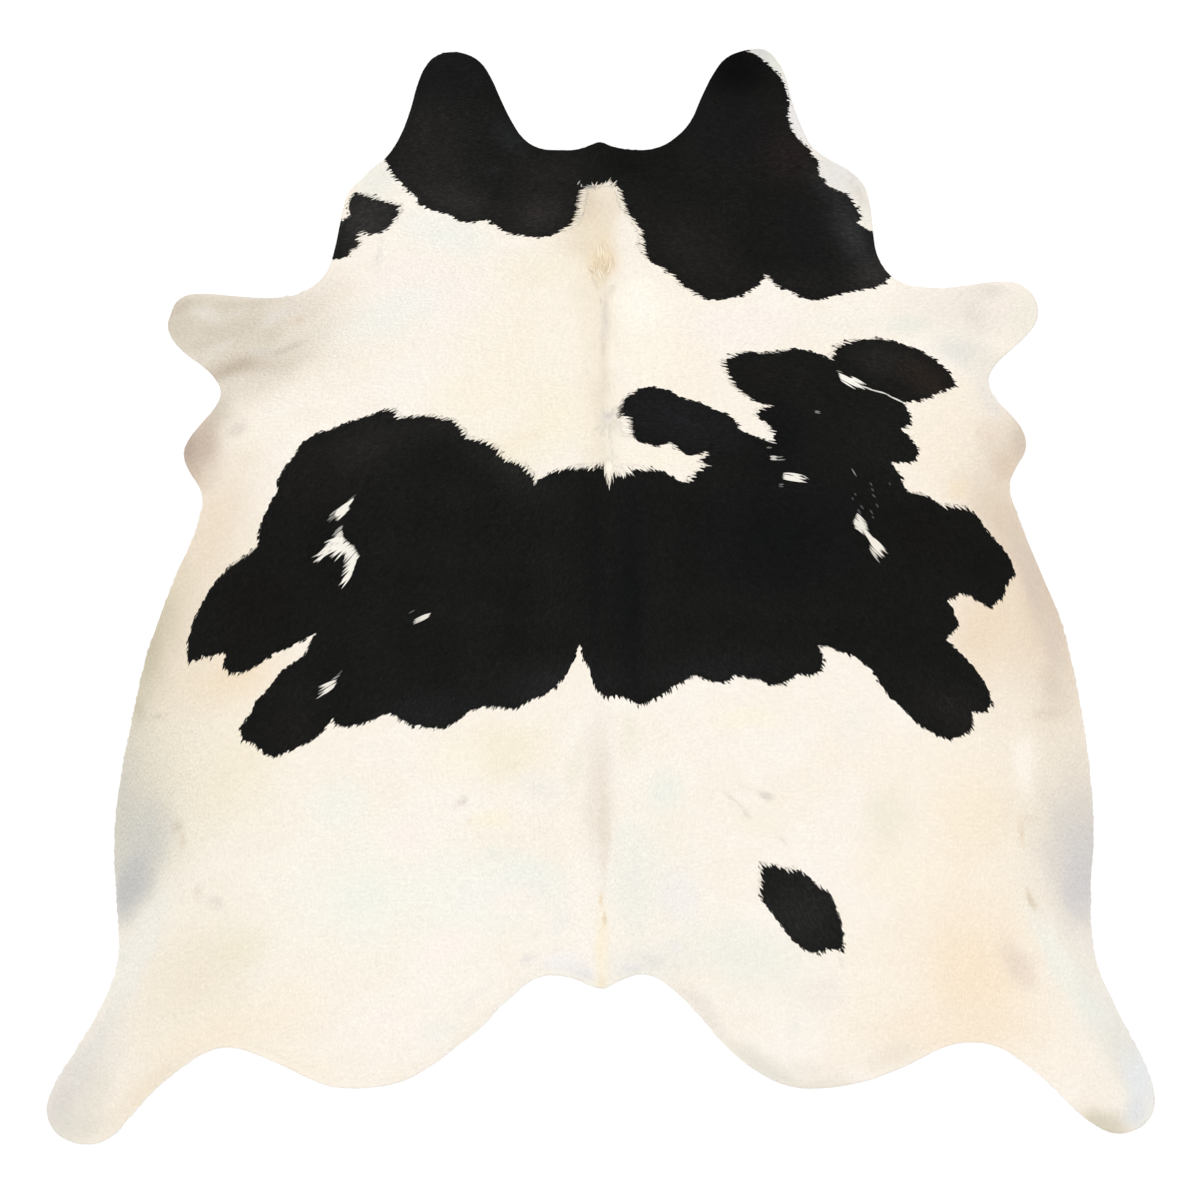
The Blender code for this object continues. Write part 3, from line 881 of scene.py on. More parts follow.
fine_hair = fine_hair_group()
FLATNESS = 0.5  # how far hair is shaded as one flat coat, and not by the slant of each tuft


def hair_material(name, strand, colour, bump_height, looks, **finish):
    """A material of fine hair, from the strand and colour that each function adds to its nodes."""
    material, tree, shader = new_material(name, **finish)
    hair = node(tree, "Group", node_tree=fine_hair)
    tree.links.new(strand(tree), hair.inputs["Strand"])
    tree.links.new(colour(tree), hair.inputs["Colour"])
    for socket, value in looks.items():
        hair.inputs[socket].default_value = value
    facing = node(tree, "NewGeometry").outputs["Normal"]
    lying = node(tree, "Mix", {0: FLATNESS, 4: facing, 5: (0, 0, 1)}, data_type="VECTOR")
    bump = node(tree, "Bump", {"Height": hair.outputs["Height"], "Strength": 0.6,
                               "Distance": bump_height, "Normal": lying.outputs[1]})
    tree.links.new(hair.outputs["Colour"], shader.inputs["Base Color"])
    tree.links.new(hair.outputs["Roughness"], shader.inputs["Roughness"])
    tree.links.new(bump.outputs["Normal"], shader.inputs["Normal"])
    return material


def attribute(name, output):
    """A function that adds the mesh attribute of that name to a material's nodes."""
    return lambda tree: node(tree, "Attribute", attribute_name=name).outputs[output]


def down_strand(tree):
    """Places in the undercoat, in fine steps along the spine and finer ones across it."""
    place = node(tree, "TexCoord").outputs["Object"]
    return node(tree, "VectorMath", {0: place, 1: (900, 400, 400)}, operation="MULTIPLY").outputs[0]


def down_colour(tree):
    """Black in the patches and the pale colour with its stains outside them, both with painted shade
    under the coat.
    """
    depth = node(tree, "Attribute", attribute_name="patch_depth").outputs["Fac"]
    black = node(tree, "MapRange", {"Value": depth, "From Min": -1 * MM, "From Max": 1 * MM})
    pale = node(tree, "Attribute", attribute_name="pale").outputs["Color"]
    dark = node(tree, "Attribute", attribute_name="black").outputs["Color"]
    return node(tree, "Mix", {0: black.outputs[0], 6: pale, 7: dark}, data_type="RGBA").outputs[2]


def grown_undercoat():
    """The undercoat as a closed sheet, rooted in the skin."""
    plan = flat_plan(UNDERCOAT_SPACING, UNDERCOAT_SHOULDER)
    shoulder = {v for edge in plan.edges if edge.is_boundary for v in edge.verts}
    tops = coat_top([v.co.xy for v in plan.verts])
    tops = {v.co.xy.freeze(): (top, v in shoulder) for v, top in zip(plan.verts, tops)}
    raised = bmesh.ops.extrude_face_region(plan, geom=plan.faces[:])["geom"]
    for vertex in (part for part in raised if isinstance(part, bmesh.types.BMVert)):
        top, at_edge = tops[vertex.co.xy.freeze()]
        vertex.co.z = skin_top(top) if at_edge else undercoat_top(top)
    flat_faces = [face for face in plan.faces if all(v.co.z == 0 for v in face.verts)]
    underside = bmesh.ops.dissolve_faces(plan, faces=flat_faces, use_verts=True)["region"]
    bmesh.ops.translate(plan, verts=underside[0].verts, vec=(0, 0, ROOT_LEVEL))
    bmesh.ops.triangulate(plan, faces=plan.faces[:])
    bmesh.ops.recalc_face_normals(plan, faces=plan.faces[:])
    mesh = bpy.data.meshes.new("undercoat")
    plan.to_mesh(mesh)
    plan.free()
    mesh.shade_smooth()
    return mesh


def make_undercoat():
    """The undercoat with its colours."""
    mesh = grown_undercoat()
    points = np.array([v.co.xy for v in mesh.vertices])
    depth = blackness(points)
    mesh.attributes.new("patch_depth", "FLOAT", "POINT").data.foreach_set("value", depth)
    # both colours darkened with painted shade under the coat
    set_colours(mesh, "pale", pale_colour(points) * PALE_DOWN_SHADE)
    set_colours(mesh, "black", black_colour(points) * BLACK_DOWN_SHADE)
    set_plan_map(mesh)
    mesh.materials.append(hair_material(
        "undercoat", down_strand, down_colour, 0.3 * MM,
        {"Fineness": 1.0, "Contrast": 0.04, "Root Shade": 1.0, "Smoothness": 0.8},
        Specular_IOR_Level=0.1))
    piece = bpy.data.objects.new("undercoat", mesh)
    bpy.context.scene.collection.objects.link(piece)
    return piece


undercoat = make_undercoat()
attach(undercoat, "root")


# ---------------------------------------------------------------------------- the lying coat hair
# Short straight hair, rooted in the skin and lying back over it in small locks that overlap like
# shingles. Each tuft is a slim kite of some dozens of hairs: pointed at its root and its tip, and
# ridged along its middle. Tips hide the next roots, so every edge of a patch shows teeth of tips.

TUFT_SPACING = 4.0 * MM
TUFT_LENGTH = 17 * MM
TUFT_LENGTHS = (0.75, 1.2)  # of that length, from tuft to tuft
TUFT_TURN = 0.09  # how unevenly tufts lie, in radians
TUFT_SHADE = 0.012  # how uneven in shade tufts are
TUFT_WIDTH = 4.6 * MM
TUFT_WIDTHS = (0.8, 1.2)  # of that width, from tuft to tuft
NARROW_BELOW = 1.5  # a tuft shorter than the length above divided by this is narrower too
TUFT_RIDGE = 0.15 * MM  # how far the ridge stands above the tuft's sides
WIDEST_AT = 0.45  # of the tuft's length
ROOT_SINK = 0.3 * MM  # how far roots lie inside the undercoat
TIP_SINK = 0.3 * MM  # how far the lowest tips lie below the top of the coat
OVERHANG = 1.2 * MM  # how far tips may hang over the knife cut
TRIMS = 8  # times that a tip is drawn back, at most
TRIM_TO = 0.72  # of its tuft's length, each time
HANGING_TIP = 1.9 * MM  # how high such a tip is above the floor
LOCK_SPACING = 8 * MM  # between the small locks that tufts gather in
LOCK_LENGTHS = (0.85, 1.25)  # of a tuft's length, from lock to lock
LOCK_SHADE = 0.008  # how uneven in shade locks are
GATHERED = 0.35  # how far the tips of a lock draw together
TEETH = 2.2 * MM  # how far tufts at the edge of a patch reach out or fall short
TOOTH_SHARE = 0.7  # of that, both from tuft to tuft and from lock to lock
COLOUR_AT = 0.6  # of a tuft's length, where it is seen most and takes its patch's colour
PATCH_GROWTH = 1.6 * MM  # how far black tufts grow out past their chart
GROWTH_BEHIND = 5 * MM  # how much farther they do so where the coat runs into the patch
LIE_BLEND = 15 * MM  # within which a reading of the lie rules nearly alone
UNDERSIDE_ANGLE = 1.2  # edges that turn more than this, in radians, shade as sharp

# The lie of the hair, as read off the rug: x, y, and the heading of the tips in degrees
# anticlockwise from +X.
LIE = {
    "neck": [
        (-301, 1013, 185), (-341, 893, 188), (-221, 913, 184), (-321, 813, 196),
        (-161, 813, 191), (-81, 863, 190), (299, 1013, -3), (379, 893, -8), (199, 893, -5),
        (239, 783, -8), (359, 743, -10), (499, 703, -13), (99, 853, -8),
    ],
    "blaze": [
        (7, 829, 60), (7, 797, -90), (7, 753, -90), (7, 713, -90), (-21, 793, 192),
        (-35, 763, 190), (39, 783, -14), (63, 729, -17), (89, 681, -20),
    ],
    "crest": [
        (-7, 669, 118), (23, 669, 62), (7, 641, 90), (-9, 613, 130), (23, 613, 50),
        (7, 593, 90),
    ],
    "parting": [
        (-13, 561, 155), (25, 561, 25), (-13, 513, 164), (25, 513, 16), (-13, 457, 172),
        (29, 457, 8), (-25, 409, 182), (63, 403, 2),
    ],
    "left neck and shoulder": [
        (-81, 693, 196), (-161, 593, 191), (-81, 493, 190), (-201, 493, 194), (-301, 669, 196),
        (-441, 783, 200), (-501, 653, 196), (-401, 533, 200), (-601, 523, 195),
        (-661, 453, 200), (-541, 393, 206), (-321, 413, 204), (-161, 373, 208),
    ],
    "left foreleg": [
        (-821, 553, 184), (-731, 543, 187), (-751, 453, 190),
    ],
    "right neck and shoulder": [
        (99, 593, -12), (159, 503, -11), (79, 453, -4), (279, 463, -14), (359, 553, -12),
        (499, 553, -10), (199, 353, -14), (289, 373, -16),
    ],
    "right foreleg": [
        (639, 569, -8), (759, 569, -5), (829, 543, -3), (679, 503, -20),
    ],
    "whorl": [
        (17, 385, 90), (-11, 357, 180), (45, 357, 0), (17, 329, -90), (-3, 377, 135),
        (37, 377, 45), (-3, 337, 225), (37, 337, -45),
    ],
    "behind the whorl": [
        (17, 283, -90), (17, 223, -90), (-21, 283, 228), (59, 289, -35), (-81, 303, 222),
        (-161, 253, 226), (119, 317, -14), (209, 283, -8), (343, 307, -8), (379, 243, -12),
    ],
    "right shoulder, black": [
        (499, 463, -20), (599, 497, -28), (699, 423, -32), (559, 353, -30), (439, 313, -24),
        (499, 213, -40), (599, 253, -35), (539, 123, -58), (659, 193, -38), (779, 123, -46),
    ],
    "right elbow": [
        (719, 333, -50), (799, 313, -84), (829, 243, -84), (859, 73, -76),
    ],
    "saddle, left": [
        (-81, 153, 238), (-81, -7, 244), (-61, -137, 254), (-201, 113, 228), (-241, 213, 220),
        (-361, 253, 212), (-541, 313, 210), (-631, 193, 236), (-521, 173, 226), (-521, 73, 228),
        (-361, -41, 208), (-541, -177, 224), (-601, -107, 229), (-801, -7, 241),
        (-721, 73, 238), (-301, -107, 224), (-441, 73, 222), (-301, -237, 230),
        (-441, -227, 231), (-141, -187, 242), (-201, -47, 230),
    ],
    "saddle, spine": [
        (5, 153, -90), (5, 53, -90), (5, -67, -90), (-7, -177, -91),
    ],
    "saddle, right": [
        (89, 153, -62), (89, -7, -70), (39, -187, -80), (99, -187, -74), (159, -137, -60),
        (199, 73, -45), (319, 73, -42), (319, 193, -24), (239, -147, -40), (319, -157, -36),
        (431, -117, -45), (439, 13, -46), (559, -187, -50), (559, -27, -48), (689, -87, -50),
        (749, -207, -52),
    ],
    "left elbow": [
        (-801, 293, 254), (-811, 223, 255), (-751, 153, 248),
    ],
    "left flank": [
        (-841, -47, 253), (-901, -207, 257), (-941, -407, 263), (-921, -527, 265),
        (-951, -647, 263), (-761, -367, 248),
    ],
    "left body": [
        (-601, -407, 234), (-301, -387, 226), (-301, -567, 223), (-501, -607, 231),
        (-81, -507, 249), (-81, -327, 248), (-121, -667, 246),
    ],
    "left thigh": [
        (-801, -767, 241), (-701, -607, 244), (-601, -807, 241), (-401, -907, 246),
        (-261, -807, 243),
    ],
    "left hind leg": [
        (-941, -887, 236), (-1041, -1027, 232),
    ],
    "spine": [
        (5, -287, -90), (5, -407, -90), (5, -527, -90), (5, -647, -90), (5, -757, -90),
    ],
    "right body": [
        (79, -387, -72), (79, -607, -70), (199, -327, -40), (199, -507, -38), (399, -367, -42),
        (399, -607, -50), (599, -407, -52), (719, -387, -62), (599, -607, -60),
    ],
    "right thigh": [
        (439, -787, -56), (299, -867, -62), (599, -807, -61), (799, -807, -62),
        (799, -607, -66),
    ],
    "right flank": [
        (899, -107, -73), (859, -307, -76), (939, -507, -83), (969, -647, -80),
    ],
    "right hind leg": [
        (919, -887, -60), (1049, -1027, -56),
    ],
}


def unit(ways):
    """The ways as vectors of length 1."""
    return ways / np.linalg.norm(ways, axis=1, keepdims=True)


def hair_lie(points):
    """The way the tips point at each point, as unit vectors, blended from the nearest readings."""
    rows = np.array([row for region in LIE.values() for row in region], float)
    total = np.zeros_like(points)
    for x, y, heading in rows:
        gap = ((points - np.array([x, y]) * MM) ** 2).sum(axis=1)
        turn = math.radians(heading)
        total += np.outer((gap + LIE_BLEND**2) ** -2, (math.cos(turn), math.sin(turn)))
    return unit(total)


def turned(ways, angles):
    """Unit vectors turned anticlockwise by their angles, in radians."""
    cos, sin = np.cos(angles), np.sin(angles)
    return np.stack([ways[:, 0] * cos - ways[:, 1] * sin, ways[:, 0] * sin + ways[:, 1] * cos], 1)


def nearest_lock(roots, locks):
    """For each root, the number of the lock it belongs to."""
    tree = KDTree(len(locks))
    for i, (x, y) in enumerate(locks):
        tree.insert((x, y, 0), i)
    tree.balance()
    return np.array([tree.find((x, y, 0))[1] for x, y in roots])


def past_cut(tips, ways):
    """Which of the tips, of hair that lies those ways, hang too far over the knife cut."""
    return coat_top(tips - unit(ways) * OVERHANG) == 0


def trimmed(roots, tips):
    """The tips drawn back wherever they hang too far over the knife cut."""
    ways = tips - roots
    for _ in range(TRIMS):
        past = past_cut(tips, ways)
        tips[past] = roots[past] + (tips[past] - roots[past]) * TRIM_TO
    return tips


def comb_coat():
    """Every tuft of the coat: its root, its tip, whether it is black, and its shade."""
    chance = np.random.default_rng(21)
    locks = strewn(LOCK_SPACING, 22)
    roots = strewn(TUFT_SPACING, 23)
    lock = nearest_lock(roots, locks)
    lengths = chance.uniform(*LOCK_LENGTHS, (len(locks), 1))
    lock_tips = locks + hair_lie(locks) * TUFT_LENGTH * lengths
    ways = turned(hair_lie(roots), chance.normal(0, TUFT_TURN, len(roots)))
    tips = roots + ways * TUFT_LENGTH * chance.uniform(*TUFT_LENGTHS, (len(roots), 1))
    tips += GATHERED * (lock_tips[lock] - tips)
    seen_at = roots + COLOUR_AT * (tips - roots)
    uneven = chance.normal(0, TOOTH_SHARE, len(roots))
    uneven += chance.normal(0, TOOTH_SHARE, len(locks))[lock]
    seen_at += ways * TEETH * uneven[:, None]
    depth = np.maximum(blackness(seen_at), blackness(seen_at + ways * GROWTH_BEHIND))
    black = depth > -PATCH_GROWTH
    shades = chance.normal(0, TUFT_SHADE, len(roots))
    shades += chance.normal(0, LOCK_SHADE, len(locks))[lock]
    tips = trimmed(roots, tips)
    whole = ~past_cut(tips, tips - roots)
    return roots[whole], tips[whole], black[whole], shades[whole]


def joined_mesh(name, corners, sides):
    """One mesh of many closed bodies with the same faces, from their corners: body, corner, xyz."""
    count, each, _ = corners.shape
    faces = (np.arange(count)[:, None, None] * each + np.array(sides)).reshape(-1, 3)
    mesh = bpy.data.meshes.new(name)
    mesh.vertices.add(count * each)
    mesh.vertices.foreach_set("co", corners.ravel())
    mesh.loops.add(faces.size)
    mesh.loops.foreach_set("vertex_index", faces.ravel())
    mesh.polygons.add(len(faces))
    mesh.polygons.foreach_set("loop_start", np.arange(0, faces.size, 3))
    mesh.update(calc_edges=True)
    mesh.shade_smooth()
    mesh.set_sharp_from_angle(angle=UNDERSIDE_ANGLE)
    set_plan_map(mesh)
    return mesh


def set_strands(mesh, across, along, chance):
    """Tells the hair material where each corner lies across and along its strand."""
    count = len(mesh.vertices) // len(across)
    strand = np.empty((count, len(across), 3))
    strand[:, :, 0] = across
    strand[:, :, 1] = along
    strand[:, :, 2] = chance.uniform(0, 500, (count, 1))
    values = mesh.attributes.new("strand", "FLOAT_VECTOR", "POINT").data
    values.foreach_set("vector", strand.ravel())


def tuft_mesh(name, roots, tips, shades, colour_at, seed, width=TUFT_WIDTH, lift=0.0):
    """Four-sided kites, one for each tuft, joined in one mesh and coloured by their places."""
    chance = np.random.default_rng(seed)
    count = len(roots)
    ways = tips - roots
    reach = np.linalg.norm(ways, axis=1, keepdims=True)
    half = turned(ways / reach, np.full(count, math.pi / 2)) * width / 2
    narrower = np.minimum(reach / TUFT_LENGTH * NARROW_BELOW, 1)
    half *= chance.uniform(*TUFT_WIDTHS, (count, 1)) * narrower
    middles = roots + ways * WIDEST_AT
    low = undercoat_top(coat_top(roots)) - ROOT_SINK + lift
    high = coat_top(tips)
    high = np.where(high > 0, high - chance.uniform(0, TIP_SINK, count), HANGING_TIP) + lift
    side = low + (high - low) * WIDEST_AT - TUFT_RIDGE
    corners = np.stack([np.c_[roots, low], np.c_[middles + half, side],
                        np.c_[middles - half, side], np.c_[tips, high]], axis=1)
    mesh = joined_mesh(name, corners, [(0, 3, 1), (0, 2, 3), (0, 1, 2), (3, 2, 1)])
    seen = [colour_at(places) * (1 + shades[:, None]) for places in (roots, middles, tips)]
    set_colours(mesh, "tuft_colour", np.stack([seen[i] for i in (0, 1, 1, 2)], 1).reshape(-1, 3))
    set_strands(mesh, (0.5, 0, 1, 0.5), (0, WIDEST_AT, WIDEST_AT, 1), chance)
    return mesh


pale_hair = hair_material(
    "pale_hair", attribute("strand", "Vector"), attribute("tuft_colour", "Color"), 0.2 * MM,
    {"Fineness": 5.0, "Contrast": 0.05, "Root Shade": 0.97, "Smoothness": 0.55},
    Specular_IOR_Level=0.3, Sheen_Weight=0.1, Sheen_Roughness=0.5)
black_hair = hair_material(
    "black_hair", attribute("strand", "Vector"), attribute("tuft_colour", "Color"), 0.2 * MM,
    {"Fineness": 5.0, "Contrast": 0.26, "Root Shade": 0.72, "Smoothness": 0.5},
    Specular_IOR_Level=0.06)


def place_hair(mesh, is_black):
    """Puts the mesh in the scene as a piece of the coat."""
    mesh.materials.append(black_hair if is_black else pale_hair)
    piece = bpy.data.objects.new(mesh.name, mesh)
    bpy.context.scene.collection.objects.link(piece)
    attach(piece, "root")
    return piece


roots, tips, black, shades = comb_coat()
x, y = roots.T
SHOULDERS_FROM = 200 * MM  # up the spine, where the pale coat's pieces part
RUMP_FROM = -330 * MM
NECK_FROM = 520 * MM  # and where the black coat's do
COAT_PIECES = {
    "pale_hair_shoulders": ~black & (y > SHOULDERS_FROM),
    "pale_hair_ribs": ~black & (y <= SHOULDERS_FROM) & (y > RUMP_FROM),
    "pale_hair_rump_left": ~black & (y <= RUMP_FROM) & (x < 0),
    "pale_hair_rump_right": ~black & (y <= RUMP_FROM) & (x >= 0),
    "black_hair_neck": black & (y > NECK_FROM),
    "black_hair_saddle_left": black & (y <= NECK_FROM) & (x < 0),
    "black_hair_saddle_right": black & (y <= NECK_FROM) & (x >= 0),
}
BLACK_UNEVENNESS = 10  # times as uneven in shade, from tuft to tuft, as the pale coat
for seed, (name, chosen) in enumerate(COAT_PIECES.items(), 31):
    is_black = name.startswith("black")
    colour_at = black_colour if is_black else pale_colour
    unevenness = BLACK_UNEVENNESS if is_black else 1
    mesh = tuft_mesh(name, roots[chosen], tips[chosen], shades[chosen] * unevenness, colour_at, seed)
    place_hair(mesh, is_black)


# -------------------------------------------------------------------------- the feathered edges
# Where the coat runs into a black patch, the last pale hairs before it lie over the black, drawn
# together in small pointed locks, and some of them are greyer. They are fine strands of the same
# hair as the rest of the coat, and lie on top of it.

FEATHER_SPACING = 1.0 * MM  # between neighbouring hairs along the edge of a patch
FEATHER_LOCK = 8 * MM  # between the small locks that the hairs draw together in
FEATHER_SCATTER = FEATHER_LOCK / 6  # how unevenly those locks follow one another
FEATHER_TURN = 0.05  # how unevenly the hairs lie, in radians
FEATHER_GATHERED = 0.85  # how far the tips of such a lock draw together
FEATHER_LENGTH = (9 * MM, 13 * MM)  # of the part behind the edge
FEATHER_REACH = (0 * MM, 10 * MM)  # how far the tips lie past the edge
FEATHER_WIDTH = 1.5 * MM
FEATHER_LIFT = 0.45 * MM  # above the tufts of the coat
FEATHER_GREY = -0.6  # how much darker the greyest of them are
GREY_RARITY = 3  # the higher, the fewer of them are grey
STRAIGHT_IN = (0.25, 0.7)  # how straight the coat runs in where the first and where all hairs lie
RUN_IN = 5 * MM  # how far before and behind an edge the coat is looked at


def edge_places(outlines, spacing):
    """Points along the outlines, that far from one another."""
    places = []
    for outline in outlines:
        for start, end in zip(outline, np.roll(outline, -1, axis=0)):
            steps = np.arange(0, 1, spacing / np.linalg.norm(end - start))
            places.append(start + (end - start) * steps[:, None])
    return np.vstack(places)


def feathers():
    """The root, the tip and the shade of each fine pale hair that lies over an edge."""
    chance = np.random.default_rng(51)
    places = edge_places(black_patches, FEATHER_SPACING)
    ways = hair_lie(places)
    rise = blackness(places + ways * RUN_IN) - blackness(places - ways * RUN_IN)
    runs_in = rise / (2 * RUN_IN) > chance.uniform(*STRAIGHT_IN, len(places))
    kept = runs_in & (coat_top(places) > 0)
    places = places[kept]
    ways = turned(ways[kept], chance.normal(0, FEATHER_TURN, kept.sum()))
    locks = edge_places(black_patches, FEATHER_LOCK)
    locks += chance.normal(0, FEATHER_SCATTER, locks.shape)
    lock_tips = locks + hair_lie(locks) * chance.uniform(*FEATHER_REACH, (len(locks), 1))
    tips = places + ways * chance.uniform(*FEATHER_REACH, (len(places), 1))
    tips += FEATHER_GATHERED * (lock_tips[nearest_lock(places, locks)] - tips)
    roots = places - ways * chance.uniform(*FEATHER_LENGTH, (len(places), 1))
    whole = (coat_top(roots) > 0) & (coat_top(tips) > 0)
    greyness = chance.uniform(0, 1, whole.sum()) ** GREY_RARITY
    return roots[whole], tips[whole], FEATHER_GREY * greyness


feather_mesh = tuft_mesh("pale_feathered_edges", *feathers(), pale_colour, 53,
                         FEATHER_WIDTH, FEATHER_LIFT)
place_hair(feather_mesh, is_black=False)


# --------------------------------------------------------------------------- crest and long locks
# The longer hair that stands out from the coat: the curled crest on the neck, the fringes that the
# white blaze throws over the black, the white flecks in the black patches, and the pale and black
# hairs that spread from the whorl. Each lock is a bent strand, rooted in the coat and lying on it.

LOCK_RINGS = 6
LOCK_LIFT = 0.5 * MM  # how far the middle of a lock lies above the coat
LOCK_RIDGE = 0.35  # of a lock's half width, how far its ridge stands above its sides
LOCK_SIZES = (0.8, 1.15)  # of its charted length and width, from lock to lock
LOCK_SCATTER = 0.6 * MM  # how unevenly the locks of a line are rooted
LOCK_TURN = 5  # how unevenly they lie, in degrees
FULL_NEAR_ROOT = 0.8  # a power below 1, which brings a lock's widest place nearer to its root
ENDS_SUNK = 0.4  # of the lift, how far both ends lie below the top of the coat

